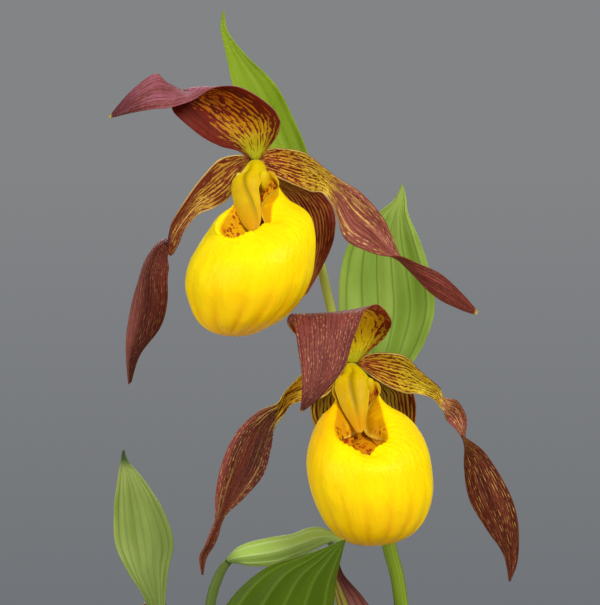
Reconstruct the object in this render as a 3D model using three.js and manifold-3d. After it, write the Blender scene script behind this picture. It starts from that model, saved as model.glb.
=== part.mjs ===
// A potted lady's-slipper orchid (Cypripedium): three shoots in one clay pot.
// The main shoot carries two open flowers, each with a leafy bract, and the two
// side shoots carry a bud each. Millimetres, +Z up, the flowers face -Y.
// The origin is the centre of the pot's underside.
import * as THREE from 'three';
import { mergeVertices } from 'three/addons/utils/BufferGeometryUtils.js';
import Module from 'manifold-3d';

const wasm = await Module();
wasm.setup();

// ---------- driving dimensions (mm) ----------
const POT_HEIGHT = 130;
const POT_FOOT_RADIUS = 52;
const POT_RIM_RADIUS = 80;
const POT_RIM_HEIGHT = 26;
const POT_WALL = 5.5;
const POT_FLOOR = 7;
const POT_EDGE = 2;
const POT_RIM_STEP = 6.5;
const POT_RIM_WIDTH = 6;
const POT_SIDES = 40;
const SOIL_LEVEL = 118;
const SOIL_RINGS = [0.94, 0.75, 0.5, 0.25];
const HOLE_DEPTH = 22;
const HOLE_CLEARANCE = 0.5;
const HOLE_SIDES = 14;
const SHEATH_LIFT = 2.3;
const GAP = 0.3;

const PETAL_THICKNESS = 0.6;
const LEAF_THICKNESS = 0.7;
const LIP_WALL = 0.8;
const LIP_SIDES = 22;
const LOBE_DEPTH = 5;
const LOBE_WIDTH = 3;
const LIP_ROUNDNESS = 0.92;
const CLAW_SPREAD = 0.75;
const NOTCH_SPREAD = 0.45;
const SHIELD_THICKNESS = 1.3;
const ANTHER_RADIUS = 1.6;
const CLASP_CLEARANCE = 0.4;
const CLASP_FLATTENING = 0.86;

// Where the petals, sepals, lip and column of each open flower meet.
const FLOWER_A = [-12.5, 0, 425];
const FLOWER_B = [15, 0, 368];

// Stems: rows of x, y, z, radius from the soil up.
const MAIN_STEM = [
  [43.5, 10, SOIL_LEVEL - HOLE_DEPTH, 3.1],
  [43.5, 10, SOIL_LEVEL, 3.1],
  [41, 11, 165, 2.8],
  [36.5, 12, 215, 2.5],
  [32.5, 13, 260, 2.2],
  [28.5, 14, 301, 2],
  [25, 14, 317, 2],
  [17.3, 14, 349, 1.8],
  [13, 14, 366, 1.4],
  [8.8, 14, 383, 1.3],
  [3.3, 14, 406.5, 1.3],
];
const LEFT_STEM = [
  [-31, 24, SOIL_LEVEL - HOLE_DEPTH, 2.7],
  [-31, 24, SOIL_LEVEL, 2.7],
  [-36, 24, 175, 2.3],
  [-39.5, 22.5, 235, 1.9],
  [-40, 20.5, 270, 1.6],
  [-39.5, 20, 286, 1.3],
];
const NODDING_STEM = [
  [-20.5, -12, SOIL_LEVEL - HOLE_DEPTH, 2.8],
  [-20.5, -12, SOIL_LEVEL, 2.8],
  [-24, -9, 170, 2.5],
  [-28, -3, 220, 2.2],
  [-28.8, 1, 260, 1.9],
  [-27, 3, 286, 1.6],
  [-25.2, 3, 300, 1.45],
  [-23.3, 3, 307, 1.4],
  [-20.4, 3.6, 312, 1.1],
  [-16, 4.4, 314.5, 0.8],
  [-7, 4.4, 315.5, 0.8],
  [2, 4.4, 318, 0.8],
  [7.5, 4.4, 318.3, 0.8],
  [9.3, 4.4, 315.5, 0.9],
  [9.6, 4.4, 313, 1],
];

// ---------- curves and solids ----------

// Smooth curve through rows of numbers, t from 0 to 1 (uniform Catmull-Rom).
function along(rows, t) {
  const last = rows.length - 1;
  const place = Math.min(Math.max(t, 0), 1) * last;
  const i = Math.min(Math.floor(place), last - 1);
  const f = place - i;
  const before = rows[Math.max(i - 1, 0)];
  const after = rows[Math.min(i + 2, last)];
  return rows[i].map((b, k) => {
    const a = before[k];
    const c = rows[i + 1][k];
    const d = after[k];
    return b + 0.5 * f * (c - a + f * (2 * a - 5 * b + 4 * c - d + f * (3 * (b - c) + d - a)));
  });
}

function meshVolume(points, triangles) {
  let sum = 0;
  for (const [a, b, c] of triangles) {
    sum += points[a].dot(new THREE.Vector3().crossVectors(points[b], points[c]));
  }
  return sum / 6;
}

// Closed geometry from points and triangles, turned so that its faces point out.
function closed(points, triangles) {
  const outward = meshVolume(points, triangles) > 0;
  const index = triangles.flatMap(([a, b, c]) => (outward ? [a, b, c] : [a, c, b]));
  const geometry = new THREE.BufferGeometry();
  const xyz = points.flatMap((p) => [p.x, p.y, p.z]);
  geometry.setAttribute('position', new THREE.Float32BufferAttribute(xyz, 3));
  geometry.setIndex(index);
  geometry.computeVertexNormals();
  return geometry;
}

function quad(a, b, c, d) {
  return [[a, b, c], [a, c, d]];
}

// A petal or leaf: rows of [left margin], [right margin], sag. The midline bulges by
// sag from the chord between the margins. Pleats run lengthwise, ripples along the margins.
function bladePoint(rows, shape, u, v) {
  const row = along(rows, v);
  const left = new THREE.Vector3(row[0], row[1], row[2]);
  const right = new THREE.Vector3(row[3], row[4], row[5]);
  const step = 0.004;
  const ahead = along(rows, v + step);
  const behind = along(rows, v - step);
  const tangent = new THREE.Vector3(
    ahead[0] + ahead[3] - behind[0] - behind[3],
    ahead[1] + ahead[4] - behind[1] - behind[4],
    ahead[2] + ahead[5] - behind[2] - behind[5],
  );
  const half = right.clone().sub(left).multiplyScalar(0.5);
  const normal = new THREE.Vector3().crossVectors(half, tangent).normalize();
  const width = half.length();
  const fade = Math.sin(Math.PI * Math.min(Math.max(v, 0), 1)) ** 0.7;
  const pleat = shape.pleatDepth * fade * Math.cos(shape.pleats * Math.PI * u) * Math.min(1, width / 5);
  const wave = shape.ripple * fade * Math.sin(2 * Math.PI * shape.ripples * v) * u ** 3;
  const rise = row[6] * (1 - u * u) + pleat + wave;
  return left.add(right).multiplyScalar(0.5).addScaledVector(half, u).addScaledVector(normal, rise);
}

function blade(stations, options) {
  const shape = { pleats: 0, pleatDepth: 0, ripple: 0, ripples: 0, ...options };
  const rows = stations.map((station) => station.flat());
  const front = [];
  const back = [];
  for (let j = 0; j <= shape.steps; j += 1) {
    for (let i = 0; i <= shape.across; i += 1) {
      const u = (2 * i) / shape.across - 1;
      const v = j / shape.steps;
      const e = 0.01;
      const du = bladePoint(rows, shape, u + e, v).sub(bladePoint(rows, shape, u - e, v));
      const inner = Math.min(Math.max(v, e), 1 - e);
      const dv = bladePoint(rows, shape, u, inner + e).sub(bladePoint(rows, shape, u, inner - e));
      const normal = du.cross(dv).normalize();
      const point = bladePoint(rows, shape, u, v);
      front.push(point.clone().addScaledVector(normal, shape.thickness / 2));
      back.push(point.clone().addScaledVector(normal, -shape.thickness / 2));
    }
  }
  const columns = shape.across + 1;
  const total = front.length;
  const triangles = [];
  for (let j = 0; j < shape.steps; j += 1) {
    for (let i = 0; i < shape.across; i += 1) {
      const a = j * columns + i;
      const b = a + 1;
      const c = b + columns;
      const d = a + columns;
      triangles.push([a, b, c], [a, c, d]);
      triangles.push([a + total, c + total, b + total], [a + total, d + total, c + total]);
    }
  }
  const rim = [];
  for (let i = 0; i < shape.across; i += 1) rim.push(i);
  for (let j = 0; j < shape.steps; j += 1) rim.push(j * columns + shape.across);
  for (let i = shape.across; i > 0; i -= 1) rim.push(shape.steps * columns + i);
  for (let j = shape.steps; j > 0; j -= 1) rim.push(j * columns);
  rim.forEach((a, k) => {
    const b = rim[(k + 1) % rim.length];
    triangles.push(...quad(b, a, a + total, b + total));
  });
  return closed([...front, ...back], triangles);
}

// A solid loft through rings of equal count, with a point at each end.
function loft(rings, start, end) {
  const count = rings[0].length;
  const points = [start, ...rings.flat(), end];
  const triangles = [];
  const at = (ring, k) => 1 + ring * count + (k % count);
  for (let k = 0; k < count; k += 1) {
    triangles.push([0, at(0, k + 1), at(0, k)]);
    triangles.push([points.length - 1, at(rings.length - 1, k), at(rings.length - 1, k + 1)]);
    for (let r = 0; r < rings.length - 1; r += 1) {
      triangles.push(...quad(at(r, k), at(r, k + 1), at(r + 1, k + 1), at(r + 1, k)));
    }
  }
  return closed(points, triangles);
}

// A round or ridged stem through rows of x, y, z, radius.
function stalk(rows, { sides, steps, ridge = 0, ridges = 0 }) {
  const rings = [];
  const turn = new THREE.Vector3(1, 0, 0);
  for (let j = 0; j <= steps; j += 1) {
    const t = j / steps;
    const row = along(rows, t);
    const ahead = along(rows, t + 0.01);
    const behind = along(rows, t - 0.01);
    const centre = new THREE.Vector3(row[0], row[1], row[2]);
    const tangent = new THREE.Vector3(ahead[0] - behind[0], ahead[1] - behind[1], ahead[2] - behind[2]);
    tangent.normalize();
    turn.addScaledVector(tangent, -turn.dot(tangent)).normalize();
    const side = new THREE.Vector3().crossVectors(tangent, turn);
    const ring = [];
    for (let k = 0; k < sides; k += 1) {
      const angle = (2 * Math.PI * k) / sides;
      const radius = row[3] * (1 + ridge * Math.cos(ridges * angle));
      ring.push(centre.clone()
        .addScaledVector(turn, radius * Math.cos(angle))
        .addScaledVector(side, radius * Math.sin(angle)));
    }
    rings.push(ring);
  }
  const ends = [rows[0], rows[rows.length - 1]].map((row) => new THREE.Vector3(row[0], row[1], row[2]));
  return loft(rings, ends[0], ends[1]);
}

// ---------- solids through manifold-3d ----------

function toSolid(geometry) {
  const bare = geometry.clone();
  bare.deleteAttribute('normal');
  bare.deleteAttribute('uv');
  const merged = mergeVertices(bare, 1e-4);
  return new wasm.Manifold(new wasm.Mesh({
    numProp: 3,
    vertProperties: new Float32Array(merged.attributes.position.array),
    triVerts: new Uint32Array(merged.index.array),
  }));
}

function toGeometry(solid) {
  const mesh = solid.getMesh();
  const geometry = new THREE.BufferGeometry();
  geometry.setAttribute('position', new THREE.BufferAttribute(new Float32Array(mesh.vertProperties), 3));
  geometry.setIndex(new THREE.BufferAttribute(new Uint32Array(mesh.triVerts), 1));
  geometry.computeVertexNormals();
  return geometry;
}

// ---------- materials ----------

const finish = (color, roughness) => () => new THREE.MeshStandardMaterial({ color, roughness, metalness: 0 });
const MAHOGANY = finish(0x6e2c1e, 0.55);
const PURPLE = finish(0x7a4040, 0.6);
const OLIVE = finish(0x8a7a2a, 0.6);
const YELLOW = finish(0xf6d800, 0.4);
const GOLD = finish(0xe8b400, 0.45);
const FRESH_GREEN = finish(0x7fa31e, 0.5);
const LEAF_GREEN = finish(0x6c9440, 0.55);
const DARK_GREEN = finish(0x4a7a18, 0.55);
const CLAY = finish(0xb0654a, 0.9);
const EARTH = finish(0x4a3826, 1);

const plant = new THREE.Group();
plant.name = 'potted_cypripedium';

function add(parent, name, geometry, material) {
  const mesh = new THREE.Mesh(geometry, material());
  mesh.name = name;
  parent.add(mesh);
  return mesh;
}

function group(place) {
  const holder = new THREE.Group();
  holder.position.set(...place);
  plant.add(holder);
  return holder;
}

// ---------- pot and soil ----------

function potSolid() {
  const band = POT_HEIGHT - POT_RIM_HEIGHT;
  const inner = POT_FOOT_RADIUS - POT_WALL;
  const mouth = POT_RIM_RADIUS - POT_RIM_WIDTH;
  const profile = [
    [0, 0],
    [POT_FOOT_RADIUS - POT_EDGE, 0],
    [POT_FOOT_RADIUS, POT_EDGE],
    [POT_RIM_RADIUS - POT_RIM_STEP, band],
    [POT_RIM_RADIUS - POT_EDGE, band + POT_EDGE / 2],
    [POT_RIM_RADIUS, POT_HEIGHT - POT_EDGE],
    [POT_RIM_RADIUS - POT_EDGE, POT_HEIGHT],
    [mouth + POT_EDGE, POT_HEIGHT],
    [mouth, POT_HEIGHT - POT_EDGE],
    [inner + POT_EDGE, POT_FLOOR + 2 * POT_EDGE],
    [inner - POT_EDGE, POT_FLOOR],
    [0, POT_FLOOR],
  ];
  const geometry = new THREE.LatheGeometry(profile.map(([r, z]) => new THREE.Vector2(r, z)), POT_SIDES);
  return geometry.rotateX(Math.PI / 2);
}

// Inner wall radius of the pot at a height.
function potInside(z) {
  const low = [POT_FOOT_RADIUS - POT_WALL + POT_EDGE, POT_FLOOR + 2 * POT_EDGE];
  const high = [POT_RIM_RADIUS - POT_RIM_WIDTH, POT_HEIGHT - POT_EDGE];
  return low[0] + ((high[0] - low[0]) * (z - low[1])) / (high[1] - low[1]);
}

// The uneven top of the soil.
function soilHeight(x, y) {
  return SOIL_LEVEL + 1.2 * Math.sin(x / 9) * Math.cos(y / 11) + 0.7 * Math.sin((x + y) / 5);
}

function soilSolid(stems) {
  const clear = GAP + HOLE_CLEARANCE;
  const ringAt = (radius, height) => {
    const ring = [];
    for (let k = 0; k < POT_SIDES; k += 1) {
      const angle = (2 * Math.PI * k) / POT_SIDES;
      const x = radius * Math.cos(angle);
      const y = radius * Math.sin(angle);
      ring.push(new THREE.Vector3(x, y, height(x, y)));
    }
    return ring;
  };
  const foot = POT_FLOOR + GAP;
  const corner = POT_FLOOR + 2 * POT_EDGE;
  const shoulder = SOIL_LEVEL - 3;
  const rings = [
    ringAt(POT_FOOT_RADIUS - POT_WALL - POT_EDGE - clear, () => foot),
    ringAt(potInside(corner) - clear, () => corner),
    ringAt(potInside(shoulder) - clear, () => shoulder),
    ...SOIL_RINGS.map((share) => ringAt(share * potInside(SOIL_LEVEL), soilHeight)),
  ];
  const top = new THREE.Vector3(0, 0, soilHeight(0, 0));
  let soil = toSolid(loft(rings, new THREE.Vector3(0, 0, foot), top));
  for (const [[x, y, z, radius]] of stems) {
    const depth = HOLE_DEPTH + 6;
    const hole = new THREE.CylinderGeometry(radius + clear, radius + clear, depth, HOLE_SIDES);
    hole.rotateX(Math.PI / 2).translate(x, y, z - GAP + depth / 2);
    soil = soil.subtract(toSolid(hole));
  }
  return toGeometry(soil);
}

// ---------- flowers ----------

// Lip rings, from the bottom of the pouch to its mouth: centre x, y, z, half width,
// half depth, tilt in degrees (back edge up), rise of the claw at the back, front notch.
function lipRing(row, yaw, shrink) {
  const [x, y, z, wide, deep, tilt, claw, notch] = row;
  const turn = THREE.MathUtils.degToRad(yaw);
  const lean = THREE.MathUtils.degToRad(tilt);
  const side = new THREE.Vector3(Math.cos(turn), -Math.sin(turn), 0);
  const back = new THREE.Vector3(Math.sin(turn), Math.cos(turn), Math.tan(lean)).normalize();
  const ring = [];
  for (let k = 0; k < LIP_SIDES; k += 1) {
    const fromFront = Math.PI * ((2 * k) / LIP_SIDES - 1);
    const c = -Math.sin(fromFront);
    const s = Math.cos(fromFront);
    const dip = notch * Math.exp(-(((Math.PI - Math.abs(fromFront)) / NOTCH_SPREAD) ** 2));
    const rise = claw * Math.exp(-((fromFront / CLAW_SPREAD) ** 2));
    ring.push(new THREE.Vector3(x, y, z + rise - dip)
      .addScaledVector(side, (wide - shrink) * Math.sign(c) * Math.abs(c) ** LIP_ROUNDNESS)
      .addScaledVector(back, (deep - shrink) * Math.sign(s) * Math.abs(s) ** LIP_ROUNDNESS));
  }
  return ring;
}

// The pouch: outer wall up to the rim, the rim folded in as two side lobes, inner wall down.
function lip(rows, yaw, bottom) {
  const outer = rows.map((row) => lipRing(row, yaw, 0));
  const [x, y, z, wide, deep, tilt, claw, notch] = rows[rows.length - 1];
  const tucked = [x, y, z - 1.4, wide - 1.3, deep - 1, tilt, 0.9 * claw, notch];
  const lobes = [x, y, z - LOBE_DEPTH, wide - LOBE_WIDTH, deep - 1.8, tilt - 4, 0.5 * claw, 0.4 * notch];
  const inner = rows.slice(0, -2).reverse().map((row) => lipRing(row, yaw, LIP_WALL));
  const folded = [lipRing(tucked, yaw, 0), lipRing(lobes, yaw, 0)];
  const floor = bottom.clone().setZ(bottom.z + LIP_WALL + 0.3);
  return loft([...outer, ...folded, ...inner], bottom, floor);
}

const LIP_A = [
  [-5.4, -14, -49, 4, 4, 0, 0, 0],
  [-5.3, -14, -47.6, 7.5, 7.2, 2, 0, 0],
  [-4, -14, -44.6, 12, 11, 4, 0, 0],
  [-2.7, -14.2, -40, 15.4, 13.6, 7, 0, 0],
  [-1.8, -14.6, -34, 17.6, 15.6, 11, 0, 0],
  [-0.8, -14.8, -28, 17.6, 16.2, 15, 0, 0],
  [0.4, -14.8, -23, 16.2, 16.2, 20, 0, 0],
  [1, -14.4, -18.8, 14, 15, 24, 0, 0],
  [0.2, -13.9, -16.2, 11, 12.6, 28, 2.5, 0.6],
  [-2.2, -13.6, -16.8, 7.9, 9.4, 31, 8.4, 2.2],
];
const LIP_B = [
  [4.6, -14, -50, 4, 4, 0, 0, 0],
  [5, -14, -48.6, 8.2, 7.8, 2, 0, 0],
  [5.4, -14, -46, 11.8, 11, 4, 0, 0],
  [5.4, -14.2, -41.5, 14.8, 13.6, 7, 0, 0],
  [4.9, -14.6, -35, 16.9, 15.6, 11, 0, 0],
  [4.1, -14.8, -28, 17.3, 16.2, 15, 0, 0],
  [3.9, -14.8, -22.6, 16.3, 16.2, 20, 0, 0],
  [3.5, -14.4, -18.2, 13.9, 15, 24, 0, 0],
  [3.6, -13.9, -15.6, 10.8, 12.6, 28, 2.5, 1.2],
  [3.5, -13.6, -16.8, 7.9, 9.4, 31, 8.4, 4],
];

// Column: a short neck, two anther knobs and the shield-like staminode over the mouth.
function column(neck, staminode, anthers) {
  let solid = toSolid(stalk(neck, { sides: 10, steps: 5 }));
  const shield = { thickness: SHIELD_THICKNESS, across: 6, steps: 9, pleats: 2, pleatDepth: -0.35 };
  solid = solid.add(toSolid(blade(staminode, shield)));
  for (const place of anthers) {
    const knob = new THREE.SphereGeometry(ANTHER_RADIUS, 8, 6).scale(1, 1, 1.3).translate(...place);
    solid = solid.add(toSolid(knob));
  }
  return toGeometry(solid);
}

const NECK_A = [
  [0, -0.2, 0, 1.3],
  [-0.6, -2.5, -0.4, 1.5],
  [-1.4, -5.5, -1.4, 1.8],
  [-1.8, -8, -3, 1.8],
  [-2, -9.5, -4.5, 1.2],
];
const STAMINODE_A = [
  [[-3.4, -7, -1.4], [0.6, -7.4, -1.4], 0],
  [[-4.8, -9.2, -4.2], [1.4, -10.4, -4.2], -0.6],
  [[-6.6, -11, -7], [1.6, -12.8, -7], -1],
  [[-6.2, -12.4, -10.4], [1, -14.4, -10.4], -1],
  [[-4.4, -13.8, -14.6], [1.2, -15.4, -14.6], -0.8],
  [[-2.4, -15, -17.8], [1.2, -16, -17.8], -0.5],
  [[-0.6, -16, -19.6], [0.6, -16.2, -19.6], 0],
];
const ANTHERS_A = [[1.4, -9.4, -4.6], [-4.4, -7.6, -4.2]];
const NECK_B = [
  [0, -0.2, 0, 1.3],
  [0, -2.5, -0.4, 1.5],
  [0, -5.5, -1.4, 1.8],
  [0.1, -8, -3, 1.8],
  [0.2, -9.5, -4.5, 1.2],
];
const STAMINODE_B = [
  [[-2, -7, -1.6], [2, -7, -1.4], 0],
  [[-4.6, -9.6, -4.4], [4.8, -9.6, -4.2], -0.6],
  [[-5.8, -12, -7.6], [5.8, -12, -7.2], -1],
  [[-4.8, -13.4, -10.6], [5, -13.4, -10.2], -1],
  [[-2.8, -14.8, -13.8], [4, -14.8, -13.2], -0.8],
  [[-0.8, -15.6, -16.4], [3, -15.6, -16], -0.5],
  [[0.8, -15.8, -17.8], [2, -15.8, -17.6], 0],
];
const ANTHERS_B = [[2.9, -8.5, -4.4], [-2.8, -8.5, -4.4]];

const PETAL = { thickness: PETAL_THICKNESS, across: 4, steps: 15, ripple: 0.5, ripples: 3 };
const SEPAL = { thickness: PETAL_THICKNESS, across: 6, steps: 14 };

const DORSAL_A = [
  [[-1.6, 0.5, 1.6], [1.6, 0.5, 1.6], 0],
  [[-5, 0, 2.5], [4, 0, 3.5], -1],
  [[-9.5, -2, 3.5], [6.5, -2, 7.5], -3.5],
  [[-14.5, -4, 6], [6.5, -4, 12], -5],
  [[-19.5, -5, 10], [2, -6, 16.5], -5],
  [[-23, -5, 13.5], [-5, -8, 20], -4],
  [[-23, -2, 17], [-12, -10, 20], -2.5],
  [[-21.5, -1, 20], [-17.5, -12, 16.5], -1.5],
  [[-25, -5, 22.5], [-23.5, -12, 14], -1.5],
  [[-28, -9, 23.5], [-28.5, -12, 13.5], -1.5],
  [[-34.5, -12, 18.5], [-34.5, -12, 12.5], -1],
  [[-40.5, -12, 11.5], [-40.5, -12, 11], 0],
];
const PETAL_LEFT_A = [
  [[-1.6, 0.5, 1], [-1.6, 0.5, -0.8], 0],
  [[-5.5, 0.5, 1.3], [-4, 1, -4.5], 1],
  [[-10, -1, 0], [-7, 0, -10.5], 1.5],
  [[-14, -2, -4], [-11.5, -1, -13.5], 1.5],
  [[-18, -3, -9], [-16, -2, -15.5], 1],
  [[-22, -5, -14], [-20, -3, -20.5], 1],
  [[-24, -8, -20.5], [-22.5, -3, -24.5], 1],
  [[-24, -9, -26.5], [-27.5, -2, -23.5], 1],
  [[-24.5, -8, -32.5], [-31.5, -3, -28.5], 1.5],
  [[-24.5, -6, -40], [-34.5, -4, -40], 1.5],
  [[-26.5, -5, -47], [-36, -4, -49.5], 1],
  [[-32, -4, -54.5], [-36, -3, -56.5], 0.5],
  [[-34.5, -3, -62], [-35.5, -3, -63], 0],
];
const PETAL_RIGHT_A = [
  [[1.6, 0.5, 1], [1.6, 0.5, -0.8], 0],
  [[4.5, 0, 2.6], [5, 1, -3.5], -1],
  [[9, -1, 3], [10.5, 1, -7], -1.5],
  [[14, -3, 1.5], [15.5, 0, -9], -1.5],
  [[19, -5, -2], [19, -3, -9.5], -1],
  [[24, -7, -6], [22, -4, -14], -1],
  [[29.5, -8, -9.5], [25, -6, -22], -1.5],
  [[35, -9, -15.5], [30.5, -7, -25.5], -1.5],
  [[39, -7, -23], [36, -11, -27], -1],
  [[41.5, -5, -28.5], [41, -13, -27.5], -1],
  [[45.5, -8, -34], [46.5, -13, -29.5], -1],
  [[51, -10, -39], [52, -12, -32.5], -1],
  [[57, -10, -42], [57.5, -11, -37.5], -0.5],
  [[61.5, -10, -43.5], [62, -10, -42.5], 0],
];
const SYNSEPAL_A = [
  [[-1.5, 1, -2.5], [1.5, 1, -2.5], 0],
  [[-1, 3, -6.5], [9, 3, -5.5], 1],
  [[0.5, 4, -12], [17.5, 3, -8.5], 2.5],
  [[3, 5, -19], [22, 4, -14], 3],
  [[6, 5, -26], [22, 4, -22], 3],
  [[9.5, 4.5, -32.5], [19, 4.5, -29.5], 2],
  [[13.5, 4.5, -38.5], [14.5, 4.5, -37.5], 0],
];
const DORSAL_B = [
  [[-1.6, 0.5, 1.6], [1.4, 0.5, 1.6], 0],
  [[-6.5, 1, 2.6], [5, 0.6, 3.8], -0.8],
  [[-13.5, 1.5, 5.5], [9, 0, 7.5], -2.5],
  [[-18, -1, 10], [10.5, -4, 12], -2.5],
  [[-18.5, -7, 13], [8.5, -9, 15], -1],
  [[-17, -14, 14], [5.5, -14, 16.5], -0.5],
  [[-16.5, -20, 11], [2.5, -18, 13.5], -1],
  [[-15.5, -24, 4.5], [-0.5, -21, 6.5], -1.5],
  [[-14.5, -26, -3], [-3, -24, -1], -1.5],
  [[-14.5, -27, -8.5], [-9, -27, -8.5], -1],
  [[-15, -28, -13], [-14.5, -28, -13], 0],
];
const PETAL_LEFT_B = [
  [[-1.6, 0.5, 0.8], [-1.6, 0.5, -0.8], 0],
  [[-5, 0, 1], [-4, 1, -5], 1],
  [[-9.5, -1, 0], [-7.5, 1, -9], 1.5],
  [[-14, -2, -2.5], [-12, 0, -10.5], 1.5],
  [[-18.5, -4, -7], [-17, -2, -11.5], 1],
  [[-21.5, -8, -10.5], [-20.5, -3, -15], 1],
  [[-22.5, -9, -17], [-25.5, -2, -14], 1],
  [[-23, -8, -23.5], [-31, -3, -18.5], 1.5],
  [[-25.5, -6, -31], [-35.5, -4, -26.5], 1.5],
  [[-31, -5, -37.5], [-38, -4, -36], 1],
  [[-36, -5, -44.5], [-39, -4, -45], 0.5],
  [[-38.5, -4, -50], [-41.5, -5, -50.5], 0.5],
  [[-41, -4, -54.5], [-43, -5, -54], 0.5],
  [[-42, -4, -59], [-42.5, -4, -59], 0],
];
const PETAL_RIGHT_B = [
  [[1.5, 0.5, 0.8], [1.5, 0.5, -0.8], 0],
  [[4.5, 0, 2.6], [5.5, 1, -4], -1],
  [[9, -1, 3], [10.5, 0, -7], -1.5],
  [[14, -3, 2], [14.5, -1, -8.5], -1.5],
  [[18.5, -5, -2], [18, -3, -8.5], -1],
  [[24, -7, -6.5], [22, -4, -10], -1],
  [[28.5, -8, -10], [25.5, -6, -14], -1],
  [[31, -7, -15], [28.5, -10, -17.5], -1],
  [[31.5, -5, -21.5], [31.5, -13, -21], -1],
  [[30.5, -8, -28], [37, -13, -25.5], -1],
  [[32, -10, -37.5], [43, -12, -35.5], -1.5],
  [[36.5, -10, -45.5], [45.5, -11, -44.5], -1],
  [[41.5, -9, -53], [45.5, -9, -54.5], -0.5],
  [[43, -9, -60.5], [43.5, -9, -60.5], 0],
];
const SYNSEPAL_B = [
  [[-1.8, 1.1, -2.8], [1.6, 1.1, -2.8], 0],
  [[-7, 3.2, -5.4], [10, 3.2, -5], 2],
  [[-11.5, 3, -9.5], [16.5, 3, -8], 4],
  [[-11.5, 3.5, -16], [17.5, 3.5, -16], 4],
  [[-7.5, 4.5, -24.5], [15.5, 4.5, -24], 3],
  [[-2.5, 4.5, -33], [10, 4.5, -33], 1.5],
  [[3, 4.5, -39.5], [4.5, 4.5, -39.5], 0],
];

function flower(tag, place, parts) {
  const holder = group(place);
  add(holder, `dorsal_sepal_${tag}`, blade(parts.dorsal, SEPAL), PURPLE);
  add(holder, `synsepal_${tag}`, blade(parts.synsepal, SEPAL), OLIVE);
  add(holder, `petal_left_${tag}`, blade(parts.petalLeft, PETAL), MAHOGANY);
  add(holder, `petal_right_${tag}`, blade(parts.petalRight, PETAL), MAHOGANY);
  add(holder, `lip_${tag}`, lip(parts.lip, parts.yaw, parts.bottom), YELLOW);
  add(holder, `column_${tag}`, column(parts.neck, parts.staminode, parts.anthers), GOLD);
}

flower('a', FLOWER_A, {
  dorsal: DORSAL_A,
  synsepal: SYNSEPAL_A,
  petalLeft: PETAL_LEFT_A,
  petalRight: PETAL_RIGHT_A,
  lip: LIP_A,
  yaw: 20,
  bottom: new THREE.Vector3(-5.3, -14, -49.5),
  neck: NECK_A,
  staminode: STAMINODE_A,
  anthers: ANTHERS_A,
});
flower('b', FLOWER_B, {
  dorsal: DORSAL_B,
  synsepal: SYNSEPAL_B,
  petalLeft: PETAL_LEFT_B,
  petalRight: PETAL_RIGHT_B,
  lip: LIP_B,
  yaw: -5,
  bottom: new THREE.Vector3(4.6, -14, -50.6),
  neck: NECK_B,
  staminode: STAMINODE_B,
  anthers: ANTHERS_B,
});

// Ovaries: the ridged stalk from the stem to the back of each flower.
const OVARY_A = [
  [3.1, 14.1, 407.1, 1.2],
  [1, 14.8, 413, 1.8],
  [-3, 14.5, 420, 2.2],
  [-7.5, 11, 424.4, 2.3],
  [-11, 6.5, 425, 2.1],
  [-12.3, 3, 424.6, 1.8],
  [-12.5, 1.2, 424.8, 1.5],
];
const OVARY_B = [
  [20.1, 14.3, 350.5, 0.9],
  [20.3, 15, 356, 1.4],
  [19.6, 14.4, 363, 2],
  [17.8, 11, 367.4, 2.3],
  [15.8, 6.5, 368, 2.1],
  [15.1, 3, 367.6, 1.8],
  [15, 1.2, 367.8, 1.5],
];
const OVARY = { sides: 12, steps: 8, ridge: 0.12, ridges: 3 };
add(plant, 'ovary_a', stalk(OVARY_A, OVARY), FRESH_GREEN);
add(plant, 'ovary_b', stalk(OVARY_B, OVARY), FRESH_GREEN);

// ---------- bracts ----------

const BRACT = { thickness: LEAF_THICKNESS, across: 8, steps: 11, pleats: 4, pleatDepth: 0.35 };
const BRACT_A = [
  [[0.8, 14.9, 403.5], [5.8, 14.9, 404], -1.7],
  [[-2.5, 16.8, 412.5], [6.5, 16.8, 414.5], -2.5],
  [[-9, 18.5, 424], [3.5, 18.5, 424], -2.5],
  [[-15, 20, 435.5], [-1, 20, 435.5], -2],
  [[-19, 20, 446.5], [-7, 20, 447], -1.5],
  [[-21, 20, 455.5], [-15, 20, 455], -1],
  [[-22.5, 20, 463], [-20.5, 20, 462], -0.5],
  [[-22, 20, 468], [-21.5, 20, 468], 0],
];
const BRACT_B = [
  [[15.2, 15.2, 345.5], [20.8, 15.2, 346], -1.7],
  [[12.5, 17.5, 355], [26.5, 17.5, 356.5], -2.8],
  [[11.5, 21, 363.5], [30, 21, 364.5], -3],
  [[11, 23, 373], [35.5, 23, 373.5], -3],
  [[11, 25, 383], [38.5, 25, 383.5], -3],
  [[11.5, 26, 393.5], [37, 26, 394.5], -2.5],
  [[14.5, 27, 403], [34, 27, 403.5], -2],
  [[21.5, 27, 410], [31, 27, 410.5], -1],
  [[27, 27, 414.5], [30.5, 27, 415], -0.5],
  [[29, 27, 418.5], [30, 27, 418.5], 0],
];
const BRACT_LEFT = [
  [[-41.8, 18.7, 282], [-37.6, 18.7, 282], 1.6],
  [[-42.5, 17, 293], [-37.5, 17, 292.5], 0.6],
  [[-44, 17.5, 300.5], [-38.3, 17.5, 299.5], -1],
  [[-49, 19, 308.5], [-37.5, 19, 308.5], -1.8],
  [[-52.5, 20, 316], [-36, 20, 317], -2],
  [[-53, 20, 325.5], [-39, 20, 326], -2],
  [[-52, 20, 334], [-44, 20, 334], -1],
  [[-51, 20, 340], [-49, 20, 340], -0.5],
  [[-50.5, 20, 343], [-50, 20, 343], 0],
];
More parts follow.
